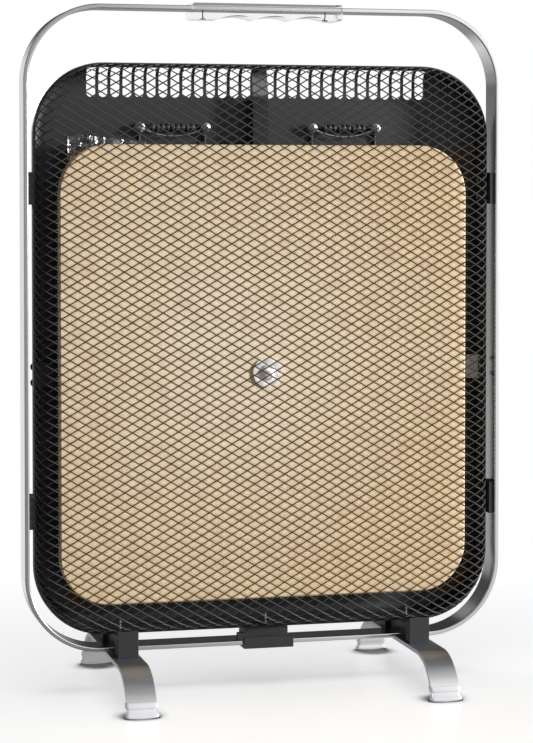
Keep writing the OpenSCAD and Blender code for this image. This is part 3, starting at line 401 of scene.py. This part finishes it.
def block(bm, low, high):
    made = bmesh.ops.create_cube(bm, size=1)["verts"]
    low, high = Vector(low) * mm, Vector(high) * mm
    bmesh.ops.scale(bm, vec=high - low, verts=made)
    bmesh.ops.translate(bm, vec=(low + high) / 2, verts=made)
    return made


def roundOff(bm, edges, by, steps=3):
    bmesh.ops.bevel(bm, geom=edges, offset=by * mm, affect="EDGES", segments=steps, profile=0.5, material=-1,
                    clamp_overlap=True)


def cutAt(bm, axis, *places):
    for place in places:
        bmesh.ops.bisect_plane(bm, geom=bm.verts[:] + bm.edges[:] + bm.faces[:], dist=1e-7,
                               plane_co=axis * place * mm, plane_no=axis)


def turned(bm, at, axis, profile, steps=28):
    # spin a half outline of (radius, distance along the axis) round the axis
    at, side = Vector(at) * mm, axis.orthogonal().normalized()
    ring = [bm.verts.new(at + (side * r + axis * along) * mm) for r, along in profile]
    edges = [bm.edges.new(pair) for pair in zip(ring, ring[1:])]
    bmesh.ops.spin(bm, geom=ring + edges, cent=at, axis=axis, angle=2 * math.pi, steps=steps, use_merge=True)
    bmesh.ops.remove_doubles(bm, verts=bm.verts, dist=2e-6)


def vertsOf(geom):
    return [part for part in geom if isinstance(part, bmesh.types.BMVert)]


def edgesOf(geom):
    return [part for part in geom if isinstance(part, bmesh.types.BMEdge)]


def edgesAlong(bm, axis, least=1.0):
    return [e for e in bm.edges if abs((e.verts[0].co - e.verts[1].co).dot(axis)) > least * mm]


# Screw heads, in shares of the head: the cross recess's edges and depth, and the fall of the dome
recess = {"slot": 0.15, "arm": 0.56, "sunk": 0.5, "dome": 0.55}


def screwShape(head, height, shank, length):
    # drawn upright on the origin
    bm = bmesh.new()
    bmesh.ops.create_grid(bm, x_segments=5, y_segments=5, size=1)
    gridLines = {0.2: recess["slot"], 0.6: recess["arm"], 1.0: 1.0}
    for v in bm.verts:
        x, y = (math.copysign(gridLines[round(abs(k), 1)], k) for k in v.co.xy)
        across = Vector((x * math.sqrt(1 - y * y / 2), y * math.sqrt(1 - x * x / 2)))
        fall = recess["dome"] * across.length_squared
        v.co = Vector((across.x * head, across.y * head, height * (1 - fall))) * mm
    middles = {f: f.calc_center_median().xy / (head * mm) for f in bm.faces}
    cross = [f for f, c in middles.items() if min(abs(c.x), abs(c.y)) < 0.01 and c.length < 0.5]
    sunk = bmesh.ops.extrude_face_region(bm, geom=cross)["geom"]
    bmesh.ops.translate(bm, vec=(0, 0, -recess["sunk"] * height * mm), verts=vertsOf(sunk))
    bmesh.ops.delete(bm, geom=[f for f in cross if f.is_valid], context="FACES_ONLY")
    rim = [e for e in bm.edges if e.is_boundary]
    skirt = bmesh.ops.extrude_edge_only(bm, edges=rim)["geom"]
    for v in vertsOf(skirt):
        v.co.z = 0
    bmesh.ops.holes_fill(bm, edges=edgesOf(skirt), sides=0)
    turned(bm, (0, 0, 0), Vector((0, 0, -1)), [(shank, 0), (shank, length - shank), (0, length)], 14)
    bmesh.ops.recalc_face_normals(bm, faces=bm.faces)
    shape = bpy.data.meshes.new("screwShape")
    bm.to_mesh(shape)
    bm.free()
    return shape


def screwPiece(name, finish, stands, slot, sizes, *places):
    # sizes are the head's radius and height, the shank's radius and its length
    shape = screwShape(*sizes)
    bm = bmesh.new()
    for at, axis in places:
        before = len(bm.verts)
        bm.from_mesh(shape)
        bm.verts.ensure_lookup_table()
        new = bm.verts[before:]
        turn = Vector(axis).to_track_quat("Z", "Y").to_matrix()
        bmesh.ops.rotate(bm, verts=new, cent=(0, 0, 0), matrix=turn)
        bmesh.ops.translate(bm, verts=new, vec=Vector(at) * mm)
    bpy.data.meshes.remove(shape)
    return newPiece(name, bm, finish, "heater", stands, slot=slot, smooth=35)


def softened(node, finish, slot, by, body="heater", only=None):
    # a copy of a moulded block with its edges rounded off
    bm = bmesh.new()
    bm.from_mesh(nodes[node].data)
    bmesh.ops.remove_doubles(bm, verts=bm.verts, dist=1e-5)
    bmesh.ops.dissolve_limit(bm, angle_limit=math.radians(1), verts=bm.verts, edges=bm.edges)
    sharp = [e for e in bm.edges if len(e.link_faces) == 2 and e.calc_face_angle() > math.radians(30)]
    roundOff(bm, [e for e in sharp if only is None or only(e)], by, 2)
    words = node.split("_")
    name = words[0] + "".join(word.capitalize() for word in words[1:]) + "Moulded"
    return newPiece(name, bm, finish, body, node, slot=slot, smooth=20)


xAxis, yAxis, zAxis = Vector((1, 0, 0)), Vector((0, 1, 0)), Vector((0, 0, 1))

# Frame strip: one rounded section led round the loop, straight by straight and bend by bend
strip = {"halfX": 250.0, "halfZ": 326.0, "midZ": 368.0, "bend": 78.0, "bendSteps": 48, "deep": 32.0,
         "thick": 4.7, "edge": 1.2, "edgeSteps": 5, "lead": 5.0}


def buildStrip():
    bm = bmesh.new()
    reachX, reachZ = strip["halfX"] - strip["bend"], strip["halfZ"] - strip["bend"]
    bmesh.ops.create_grid(bm, x_segments=1, y_segments=1, size=0.5)
    bmesh.ops.scale(bm, vec=(strip["thick"] * mm, strip["deep"] * mm, 1), verts=bm.verts)
    bmesh.ops.bevel(bm, geom=bm.verts[:], offset=strip["edge"] * mm, affect="VERTICES",
                    segments=strip["edgeSteps"], profile=0.5, material=-1)
    start = Vector((strip["halfX"] - strip["thick"] / 2, 0, strip["midZ"] - reachZ)) * mm
    bmesh.ops.translate(bm, vec=start, verts=bm.verts)
    bmesh.ops.delete(bm, geom=bm.faces[:], context="FACES_ONLY")
    ring = bm.edges[:]
    for way, run, corner in ((zAxis, reachZ, (1, 1)), (-xAxis, reachX, (-1, 1)), (-zAxis, reachZ, (-1, -1)),
                             (xAxis, reachX, (1, -1))):
        # a short lead next to each bend keeps the long straights flat in the light
        for length in (strip["lead"], 2 * (run - strip["lead"]), strip["lead"]):
            made = bmesh.ops.extrude_edge_only(bm, edges=ring)["geom"]
            ring = [e for e in edgesOf(made) if all(v in made for v in e.verts)]
            bmesh.ops.translate(bm, vec=way * length * mm, verts=vertsOf(made))
        centre = Vector((corner[0] * reachX, 0, strip["midZ"] + corner[1] * reachZ)) * mm
        ends = list({v for e in ring for v in e.verts})
        made = bmesh.ops.spin(bm, geom=ends + ring, cent=centre, axis=(0, -1, 0), angle=math.pi / 2,
                              steps=strip["bendSteps"])["geom_last"]
        ring = edgesOf(made)
    bmesh.ops.remove_doubles(bm, verts=bm.verts, dist=1e-5)
    bmesh.ops.recalc_face_normals(bm, faces=bm.faces)
    return bm


newPiece("frameStrip", buildStrip(), stripFinish, "heater", "frame_loop", slot="strip_aluminium", smooth=5)

# Handle grip: a clear sleeve on the top bar with three finger scallops underneath
grip = {"half": 78.5, "deep": 19.4, "low": 680.9, "high": 696.8, "tunnel": (15.85, 689.45, 693.85),
        "wall": 3.0, "corner": 2.4, "scallops": 3, "run": 38.73, "rise": 3.6, "shift": 7.5, "cuts": 14,
        "waveBelow": 686.0, "screwX": 64.5, "screwZ": 683.1, "screw": (3.2, 2.2, 0.6, 9.2)}


def buildGrip():
    bm = bmesh.new()
    block(bm, (-grip["half"], -grip["deep"], grip["low"]), (grip["half"], grip["deep"], grip["high"]))
    ends = [f for f in bm.faces if abs(f.normal.x) > 0.9]
    bmesh.ops.inset_individual(bm, faces=ends, thickness=grip["wall"] * mm)
    deep, low, high = (k * mm for k in grip["tunnel"])
    tunnel = []
    for end in ends:
        middle = end.calc_center_median()
        for v in end.verts:
            v.co.y = math.copysign(deep, v.co.y)
            v.co.z = low if v.co.z < middle.z else high
        tunnel += list(end.edges)
    bmesh.ops.delete(bm, geom=ends, context="FACES_ONLY")
    bmesh.ops.bridge_loops(bm, edges=tunnel)
    inWall = (deep + grip["deep"] * mm) / 2
    roundOff(bm, [e for e in bm.edges if all(abs(v.co.y) > inWall for v in e.verts)], grip["corner"], 4)
    run, rise, cuts = grip["run"], grip["rise"], grip["cuts"]
    reach = grip["scallops"] * run / 2
    cutAt(bm, xAxis, *(grip["shift"] - reach + run * k / cuts for k in range(cuts * grip["scallops"] + 1)))
    r = (run * run / 4 + rise * rise) / (2 * rise)
    for v in bm.verts:
        x = v.co.x / mm - grip["shift"]
        if abs(x) < reach and v.co.z < grip["waveBelow"] * mm:
            off = (x + reach) % run - run / 2
            v.co.z += (math.sqrt(r * r - off * off) - r + rise) * mm
    bmesh.ops.recalc_face_normals(bm, faces=bm.faces)
    return bm


newPiece("gripClear", buildGrip(), gripFinish, "heater", "handle_grip", slot="clear_plastic", smooth=40)
screwPiece("gripScrews", dullFinish, "handle_screws", "zinc_screw", grip["screw"],
           *(((side * grip["screwX"], 0, grip["screwZ"]), (0, 0, -1)) for side in (-1, 1)))

# Foot caps: milky plastic ends that follow the bend, with a lip above and a wider rim at the floor
cap = {"x": 153.5, "half": 16.4, "deep": 8.0, "high": 14.4, "corner": 3.0, "crown": 0.5,
       "cuts": range(-12, 13, 2), "lift": 1.0, "liftBelow": 5.0, "bendY": 80.1, "bendZ": -13.0,
       "outer": 56.7, "inner": 49.3,
       "drawnIn": [(0, 1.0), (0.4, 0.45), (1.0, 0.1), (1.6, 0.0), (3.4, 0.0), (4.0, 0.4), (4.8, 1.3),
                   (8.6, 1.3), (9.4, 0.5), (10.0, 0.15), (13.2, 0.15), (13.9, 0.4), (14.4, 0.9)]}


def buildCap(side, rear):
    bm = bmesh.new()
    block(bm, (-cap["half"], 0, 0), (cap["half"], cap["deep"], cap["high"]))
    roundOff(bm, edgesAlong(bm, zAxis), cap["corner"], 6)
    inset = dict(cap["drawnIn"])
    cutAt(bm, zAxis, *(z for z in inset if 0 < z < cap["high"]))
    cutAt(bm, xAxis, *cap["cuts"])
    for v in bm.verts:
        x, y, z = v.co / mm
        by = inset[min(inset, key=lambda level: abs(level - z))]
        up = (z - cap["bendZ"]) ** 2
        front, back = (math.sqrt(cap[face] ** 2 - up) for face in ("outer", "inner"))
        forward = 1 - y / cap["deep"]
        bow = cap["crown"] * forward * (x / cap["half"]) ** 2
        depth = back + by + (front - back - 2 * by) * forward - bow
        # underneath, the middle touches the floor and the sides rise a little
        z += cap["lift"] * (x / cap["half"]) ** 2 * max(1 - z / cap["liftBelow"], 0)
        v.co = Vector((x * (1 - by / cap["half"]), -cap["bendY"] - depth, z)) * mm
    bmesh.ops.translate(bm, vec=(cap["x"] * mm, 0, 0), verts=bm.verts)
    bmesh.ops.scale(bm, vec=(side, -1 if rear else 1, 1), verts=bm.verts)
    bmesh.ops.recalc_face_normals(bm, faces=bm.faces)
    return bm


for rear, depth in enumerate(("front", "rear")):
    for side, hand in ((-1, "left"), (1, "right")):
        newPiece("cap" + depth.capitalize() + hand.capitalize(), buildCap(side, rear), glowingCapFinish, "heater",
                 "foot_cap_" + depth + "_" + hand, slot="cap_plastic", smooth=40)

# Black mouldings that carry the shell, with their edges eased
for node in ("foot_bracket_left", "foot_bracket_right", "clamp_top", "clamp_base", "side_bracket_upper_left",
             "side_bracket_upper_right", "side_bracket_lower_left", "side_bracket_lower_right"):
    softened(node, bracketFinish, "bracket_plastic", 0.5)
print("grip, caps and mouldings made")

# Terminals: screws on standoffs, a string of dark beads and a thin wire between each pair
terminal = {"inner": 57.0, "outer": 125.6, "z": 572.0, "headY": 21.0, "screw": (5.0, 3.5, 1.9, 9.2),
            "lug": (2.1, 4.5, 0.9), "beadLugY": 23.0, "wireLugY": 21.1, "wireY": 21.5, "wireR": 0.9,
            "sag": 9.0, "leadR": 1.1, "leadHalf": 30.5, "beads": 9, "bead": 5.2, "beadGap": 0.25,
            "beadR": 4.2, "beadY": 23.5, "beadShape": [(0.55, 1.0), (0.88, 0.72), (1.0, 0.25)]}
terminalX = [side * terminal[end] for side in (-1, 1) for end in ("outer", "inner")]
screwPiece("terminalScrews", zincFinish, "terminal_screws", "zinc_screw", terminal["screw"],
           *(((x, terminal["headY"], terminal["z"]), (0, -1, 0)) for x in terminalX))


def ringLugs(bm, side, y):
    bore, out, thick = terminal["lug"]
    for end in ("inner", "outer"):
        turned(bm, (side * terminal[end], y, terminal["z"]), yAxis,
               [(bore, 0), (out, 0), (out, thick), (bore, thick), (bore, 0)], 20)


def buildBeads(side):
    bm = bmesh.new()
    middle = side * (terminal["inner"] + terminal["outer"]) / 2
    half, r = terminal["bead"] / 2 - terminal["beadGap"], terminal["beadR"]
    rise = [(r * out, -half * along) for out, along in terminal["beadShape"]]
    fall = [(out, -along) for out, along in reversed(rise)]
    for k in range(terminal["beads"]):
        x = middle + (k - (terminal["beads"] - 1) / 2) * terminal["bead"]
        turned(bm, (x, terminal["beadY"], terminal["z"]), xAxis, [(0, -half), *rise, *fall, (0, half)], 18)
    thin, reach = terminal["leadR"], terminal["leadHalf"]
    turned(bm, (middle, terminal["beadY"], terminal["z"]), xAxis,
           [(0, -reach), (thin, -reach), (thin, reach), (0, reach)], 12)
    ringLugs(bm, side, terminal["beadLugY"])
    bmesh.ops.recalc_face_normals(bm, faces=bm.faces)
    return bm


def buildWire(side):
    bm = bmesh.new()
    middle = side * (terminal["inner"] + terminal["outer"]) / 2
    half, sag = (terminal["outer"] - terminal["inner"]) / 2, terminal["sag"]
    r = (half * half + sag * sag) / (2 * sag)
    centre = Vector((middle, terminal["wireY"], terminal["z"] - sag + r)) * mm
    lowest = Matrix.Translation(Vector((middle, terminal["wireY"], terminal["z"] - sag)) * mm)
    ring = bmesh.ops.create_circle(bm, segments=10, radius=terminal["wireR"] * mm,
                                   matrix=lowest @ Matrix.Rotation(math.pi / 2, 4, "Y"))["verts"]
    swing = math.asin(half / r)
    bmesh.ops.rotate(bm, verts=ring, cent=centre, matrix=Matrix.Rotation(swing, 3, "Y"))
    bmesh.ops.spin(bm, geom=ring + bm.edges[:], cent=centre, axis=(0, 1, 0), angle=-2 * swing, steps=28)
    bmesh.ops.holes_fill(bm, edges=[e for e in bm.edges if e.is_boundary], sides=0)
    ringLugs(bm, side, terminal["wireLugY"])
    bmesh.ops.recalc_face_normals(bm, faces=bm.faces)
    return bm


for side, hand in ((-1, "left"), (1, "right")):
    newPiece("beadString" + hand.capitalize(), buildBeads(side), beadFinish, "heater", "bead_lead_" + hand,
             slot="dark_beads", smooth=40)
    newPiece("bridgeWire" + hand.capitalize(), buildWire(side), zincFinish, "heater", "bridge_wire_" + hand,
             slot="plain_wire", smooth=40)

# Foil-faced pad: flat behind the plate, its top left corner lifted and crumpled; a fold is given as
# its noise's scale, its sharpness and its weight
pad = {"half": 203.5, "low": 99.2, "high": 543.2, "front": 1.0, "back": 9.0, "corner": 50.0,
       "lift": [(-203.5, 561.1), (-193.1, 564.1), (-91.5, 552.7), (-88.0, 543.2)],
       "columns": 220, "rows": 118, "crease": 2.0, "patch": 19.0, "folds": [(1.0, 5, 1.0), (1.7, 6, 0.6)],
       "glints": [(0, 541), (15, 553), (20, 555), (30, 554)], "glintTilt": (0.41, 0.15), "glintZ": 555.0}


def padTop(x):
    line = pad["lift"]
    for (x0, z0), (x1, z1) in zip(line, line[1:]):
        if x <= x1:
            return z0 + (z1 - z0) * (x - x0) / (x1 - x0)
    return pad["high"]


def buildPad():
    bm = bmesh.new()
    bmesh.ops.create_grid(bm, x_segments=pad["columns"], y_segments=pad["rows"], size=1)
    r, half, middle = pad["corner"], pad["half"], (pad["low"] + pad["high"]) / 2
    for v in bm.verts:
        x, up = v.co.x * half, v.co.y
        top = padTop(x) if up > 0 else pad["low"]
        z = middle + abs(up) * (top - middle)
        # the other three corners are rounded
        out = Vector((max(abs(x) - half + r, 0), max(abs(z - middle) - (pad["high"] - middle) + r, 0)))
        if out.x > 0 and out.y > 0 and out.length > r and (x > 0 or up < 0):
            pull = out * (r / out.length) - out
            x += pull.x * math.copysign(1, x)
            z += pull.y * math.copysign(1, z - middle)
        v.co = Vector((x, pad["front"], z)) * mm
    back = bmesh.ops.extrude_face_region(bm, geom=bm.faces[:], use_keep_orig=True)["geom"]
    bmesh.ops.translate(bm, vec=(0, (pad["back"] - pad["front"]) * mm, 0), verts=vertsOf(back))
    halfway = (pad["front"] + pad["back"]) / 2 * mm
    column = 2 * half / pad["columns"]
    across, upward = pad["glintTilt"]
    for v in bm.verts:
        # folds are thin lines where a slow noise passes nought, with nearly flat foil between
        spot = v.co / (pad["patch"] * mm)
        fold = sum(weight * max(1 - sharp * abs(noise.noise(spot * scale)), 0)
                   for scale, sharp, weight in pad["folds"])
        depth = pad["crease"] * mm * (1 - min(fold, 1))
        v.co.y += depth if v.co.y < halfway else -depth
        # narrow folds at the lifted corner are turned towards the light
        place = round((v.co.x / mm + half) / column)
        for first, low in pad["glints"]:
            if place in (first, first + 1) and v.co.y < halfway and v.co.z > low * mm:
                step = (place - first) * column
                v.co.y = (pad["front"] + across * step + upward * (v.co.z / mm - pad["glintZ"])) * mm
    bmesh.ops.recalc_face_normals(bm, faces=bm.faces)
    return bm


padPiece = newPiece("foilPad", buildPad(), foilFinish, "heater", "insulation_pad", slot="foil_wool")

# Screws in fours, on the frame's sides and on the box's cover
barScrew = {"sizes": (3.45, 2.9, 1.6, 6.0), "x": 237.0, "y": 15.1, "z": 321.2, "up": 8.0}
coverScrew = {"sizes": (3.2, 2.3, 1.5, 10.9), "x": 59.8, "y": 66.2, "z": 190.0, "up": 35.8}


def inFours(screw):
    for side in (-1, 1):
        for rise in (-1, 1):
            yield side, (side * screw["x"], screw["y"], screw["z"] + rise * screw["up"])


screwPiece("barScrews", blackScrewFinish, "cross_bar_screws", "black_screw", barScrew["sizes"],
           *((at, (side, 0, 0)) for side, at in inFours(barScrew)))
screwPiece("coverScrews", blackScrewFinish, "cover_screws", "black_screw", coverScrew["sizes"],
           *((at, (0, 1, 0)) for side, at in inFours(coverScrew)))
print("terminals, foil pad and screws made")

# Rear controls: eased mouldings, a pointer on the knob, a scale round it and marks on the rockers
control = {"midZ": 190.0, "rimX": 62.5, "rimZ": 38.5, "dialX": -32.0, "boxEdge": 1.0, "coverEdge": 0.8,
           "edge": 0.5, "leastFace": 20.0, "leastEdge": 3.0}
pointer = {"low": 3.0, "high": 16.1, "half": 1.05, "corner": 0.9, "face": 83.8, "sunk": 1.2, "proud": 0.1}
dial = {"inner": 22.6, "outer": 24.2, "grows": 0.3, "half": 0.5, "corner": 0.4, "steps": 9, "sweep": 270,
        "face": 66.2, "sunk": 0.1, "proud": 0.2}
rocker = {"x": {"left": 17.0, "right": 43.0}, "y": 64.0, "z": 183.0, "tilt": 10.0, "slope": 9.73,
          "markY": 5.66, "markZ": 5.6, "half": 0.5, "bore": 1.5, "reach": 2.3, "sunk": 0.1, "proud": 0.15}


def boxRim(edge):
    # the outline alone, without the holes for knob, switches and screws
    off = (edge.verts[0].co + edge.verts[1].co) / 2 / mm
    return abs(off.x) > control["rimX"] or abs(off.z - control["midZ"]) > control["rimZ"]


def outward(edge):
    least = control["leastFace"] * mm * mm
    return any(face.normal.y > 0.9 and face.calc_area() > least for face in edge.link_faces)


def longEdge(edge):
    return edge.calc_length() > control["leastEdge"] * mm


def ontoDial(bm):
    bmesh.ops.translate(bm, vec=Vector((control["dialX"], 0, control["midZ"])) * mm, verts=bm.verts)
    return bm


def buildPointer():
    bm = bmesh.new()
    block(bm, (-pointer["half"], pointer["face"] - pointer["sunk"], pointer["low"]),
          (pointer["half"], pointer["face"] + pointer["proud"], pointer["high"]))
    roundOff(bm, edgesAlong(bm, yAxis), pointer["corner"])
    return ontoDial(bm)


def buildScale():
    # bars round the knob, longer as the heat goes up
    bm = bmesh.new()
    for k in range(dial["steps"] + 1):
        bar = block(bm, (-dial["half"], dial["face"] - dial["sunk"], dial["inner"]),
                    (dial["half"], dial["face"] + dial["proud"], dial["outer"] + dial["grows"] * k))
        turn = Matrix.Rotation(-math.radians(dial["sweep"] * k / dial["steps"]), 3, "Y")
        bmesh.ops.rotate(bm, verts=bar, cent=(0, 0, 0), matrix=turn)
    roundOff(bm, edgesAlong(bm, yAxis, dial["proud"]), dial["corner"])
    return ontoDial(bm)


def buildMarks(x):
    # a bar on the raised half and a ring on the pressed one
    bm = bmesh.new()
    half, bore, reach, low, high = (rocker["half"], rocker["bore"], rocker["reach"], -rocker["sunk"],
                                    rocker["proud"])
    for side in (-1, 1):
        before = len(bm.verts)
        if side < 0:
            block(bm, (-half, low, -reach), (half, high, reach))
        else:
            turned(bm, (0, 0, 0), yAxis,
                   [(bore, low), (reach, low), (reach, high), (bore, high), (bore, low)])
        bm.verts.ensure_lookup_table()
        centre = Matrix.Translation(Vector((x, rocker["y"], rocker["z"])) * mm)
        lean = Matrix.Rotation(math.radians(rocker["tilt"]), 4, "X")
        onHalf = Matrix.Translation(Vector((0, rocker["markY"], side * rocker["markZ"])) * mm)
        slope = Matrix.Rotation(-side * math.radians(rocker["slope"]), 4, "X")
        bmesh.ops.transform(bm, matrix=centre @ lean @ onHalf @ slope, verts=bm.verts[before:])
    bmesh.ops.recalc_face_normals(bm, faces=bm.faces)
    return bm


rearPieces = [nodes["rear_shell"], nodes["indicator_lamp"], nodes["cord_inlet"],
              softened("control_box", boxFinish, "box_plastic", control["boxEdge"], only=boxRim),
              softened("control_cover", boxFinish, "box_plastic", control["coverEdge"], only=boxRim),
              softened("thermostat_knob", boxFinish, "box_plastic", control["edge"], "dial", outward),
              newPiece("knobPointer", buildPointer(), printFinish, "dial", slot="box_plastic", smooth=40),
              newPiece("dialScale", buildScale(), printFinish, "heater", slot="box_plastic", smooth=40)]
for hand, x in rocker["x"].items():
    by, body = control["edge"], hand + "_switch"
    rearPieces += [softened("rocker_housing_" + hand, boxFinish, "box_plastic", by, only=outward),
                   softened("rocker_" + hand, redFinish, "rocker_red", by, body, longEdge),
                   newPiece("rockerMarks" + hand.capitalize(), buildMarks(x), printFinish, body,
                            slot="rocker_red", smooth=40)]
print("rear controls made")

# Floor: pale near the heater and fading into the white sweep behind it
floor = {"size": 0.84, "near": 0.34, "far": 0.82, "pale": 0.88, "glow": 0.55, "gloss": 0.34, "contactShadow": 0.03,
         "paintedShadow": [(0.69, 0.06), (0.79, 0.34), (0.885, 0.87), (0.96, 1.0)]}
floorBm = bmesh.new()
bmesh.ops.create_circle(floorBm, cap_ends=True, segments=96, radius=floor["size"])
floorMesh = bpy.data.meshes.new("floor")
floorBm.to_mesh(floorMesh)
floorBm.free()
floorPiece = bpy.data.objects.new("floor", floorMesh)
bpy.context.collection.objects.link(floorPiece)
floorFinish, floorTree, floorShader, floorPlace = startFinish(
    "paleFloor", Roughness=floor["gloss"], Specular_IOR_Level=0.3, Emission_Color=(1, 1, 1, 1))
away = mathOn(floorTree, "LENGTH", floorPlace, kind="VectorMath")
sweep = mapOn(floorTree, away, floor["near"], floor["far"], course="SMOOTHSTEP")
# painted contact shadow: colour and glow both die away close to the feet
contactShadow = floorTree.nodes.new("ShaderNodeAmbientOcclusion")
contactShadow.inputs["Distance"].default_value = floor["contactShadow"]
paintedShadow = rampOn(floorTree, contactShadow.outputs["AO"], *floor["paintedShadow"])
for socket, near, far in (("Base Color", floor["pale"], 0.0), ("Emission Strength", floor["glow"], 1.0)):
    shade = rampOn(floorTree, sweep, (0.0, near), (1.0, far))
    floorTree.links.new(mathOn(floorTree, "MULTIPLY", shade, paintedShadow), floorShader.inputs[socket])
floorMesh.materials.append(floorFinish)
# only the camera sees the floor: it neither lights the shell from below nor shows in the metal
floorPiece.visible_diffuse = floorPiece.visible_glossy = False

# Studio: what the metal mirrors is dark overhead and behind, bright at the right and low behind at the left
studio = {"front": 0.29, "right": 1.30, "left": 0.40, "ceiling": 0.22, "ground": 0.55, "behind": 0.05,
          "low": 0.32, "card": 1.0, "cardX": -0.12, "cardTop": 0.3, "cardFoot": 0.2, "bend": 0.75,
          "soft": 0.16}
# where each part of it begins and ends to fade, along one axis of the direction looked in
fades = {"right": (0.13, 0.29), "left": (-0.45, -0.20), "ceiling": (0.70, 1.0), "ground": (-0.22, -0.02),
         "card": (0.07, 0.13), "cardTop": (0.1, 0.22), "cardFoot": (-0.4, -0.25), "low": (-0.02, 0.08),
         "bendLeft": (-0.335, -0.29), "bendRight": (-0.20, -0.14), "bendTop": (-0.10, -0.03),
         "behind": (-0.12, 0.12)}
world = bpy.data.worlds.new("studio")
bpy.context.scene.world = world
world.use_nodes = True
world.cycles.sampling_method = "NONE"
sky = world.node_tree
backdrop = sky.nodes["Background"]
backdrop.inputs["Color"].default_value = (1, 1, 1, 1)
look = axesOf(sky, sky.nodes.new("ShaderNodeTexCoord").outputs["Generated"])


def faded(value, name, low, high):
    return mapOn(sky, value, *fades[name], low, high, "SMOOTHSTEP")


def skyMath(operation, *values):
    return mathOn(sky, operation, *values)


rightSide = faded(look["X"], "right", studio["front"], studio["right"])
leftSide = faded(look["X"], "left", studio["left"], studio["front"])
ceiling = faded(look["Z"], "ceiling", 1.0, studio["ceiling"])
ground = faded(look["Z"], "ground", studio["ground"], 1.0)
ahead = skyMath("MULTIPLY", skyMath("MAXIMUM", rightSide, leftSide), skyMath("MULTIPLY", ceiling, ground))
fromCard = skyMath("ABSOLUTE", skyMath("SUBTRACT", look["X"], studio["cardX"]))
card = skyMath("MULTIPLY", faded(fromCard, "card", studio["card"], studio["behind"]),
               skyMath("MINIMUM", faded(look["Z"], "cardTop", 1.0, studio["cardTop"]),
                       faded(look["Z"], "cardFoot", studio["cardFoot"], 1.0)))
behind = skyMath("MAXIMUM", card, faded(look["Z"], "low", studio["low"], studio["behind"]))
# a patch low at the left, which the frame's upper right bend mirrors
bend = skyMath("MULTIPLY", faded(look["X"], "bendLeft", 0.0, studio["bend"]),
               skyMath("MULTIPLY", faded(look["X"], "bendRight", 1.0, 0.0),
                       faded(look["Z"], "bendTop", 1.0, 0.0)))
behind = skyMath("MAXIMUM", behind, bend)
mirrored = mixOn(sky, faded(look["Y"], "behind", 0.0, 1.0), ahead, behind)
# white to the camera and through the clear grip, the studio to mirrors, an even soft light to the rest
ray = sky.nodes.new("ShaderNodeLightPath").outputs
seen = mixOn(sky, skyMath("MINIMUM", ray["Glossy Depth"], 1.0), 1.0, mirrored)
shown = mixOn(sky, ray["Is Diffuse Ray"], seen, studio["soft"])
sky.links.new(shown, backdrop.inputs["Strength"])

# Lights: the key rakes in from the right and throws each shadow to the left
lamps = {
    "keyRight": {"place": (10.4, -5.12, 3.14), "aim": (0, 0, 0.36), "size": (1.8, 2.8), "power": 3690},
    "fillFront": {"place": (-0.6, -2.8, 1.6), "aim": (0, 0, 0.35), "size": (2.0, 1.6), "power": 5,
                  "mirrored": False},
    "overhead": {"place": (0, -0.3, 3.2), "aim": (0, 0, 0), "size": (3.0, 3.0), "power": 52,
                 "mirrored": False},
    "rearBox": {"place": (-1.3, 2.4, 1.5), "aim": (0, 0, 0.3), "size": (1.6, 1.2), "power": 150},
}


def softbox(name, place, aim, size, power, mirrored=True):
    lamp = bpy.data.lights.new(name, "AREA")
    lamp.shape = "RECTANGLE"
    lamp.size, lamp.size_y = size
    lamp.energy = power
    light = bpy.data.objects.new(name, lamp)
    light.location = place
    light.rotation_euler = (Vector(aim) - Vector(place)).to_track_quat("-Z", "Y").to_euler()
    light.visible_glossy = mirrored
    bpy.context.collection.objects.link(light)
    return light


def shineOn(name, pieces, *boxes):
    group = bpy.data.collections.new(name)
    for piece in pieces:
        group.objects.link(piece)
    for box in boxes:
        boxLights[box].light_linking.receiver_collection = group
    return group


boxLights = {name: softbox(name, **settings) for name, settings in lamps.items()}
# key and fill leave the floor alone, which has the overhead box instead
offFloor = shineOn("offFloor", [floorPiece], "keyRight", "fillFront")
offFloor.collection_objects[0].light_linking.link_state = "EXCLUDE"
shineOn("onFloor", [floorPiece], "overhead")
# the rear side has a box of its own, which the front never sees
shineOn("onRear", rearPieces, "rearBox")
bpy.context.scene.view_settings.view_transform = "Standard"
print("studio lit")
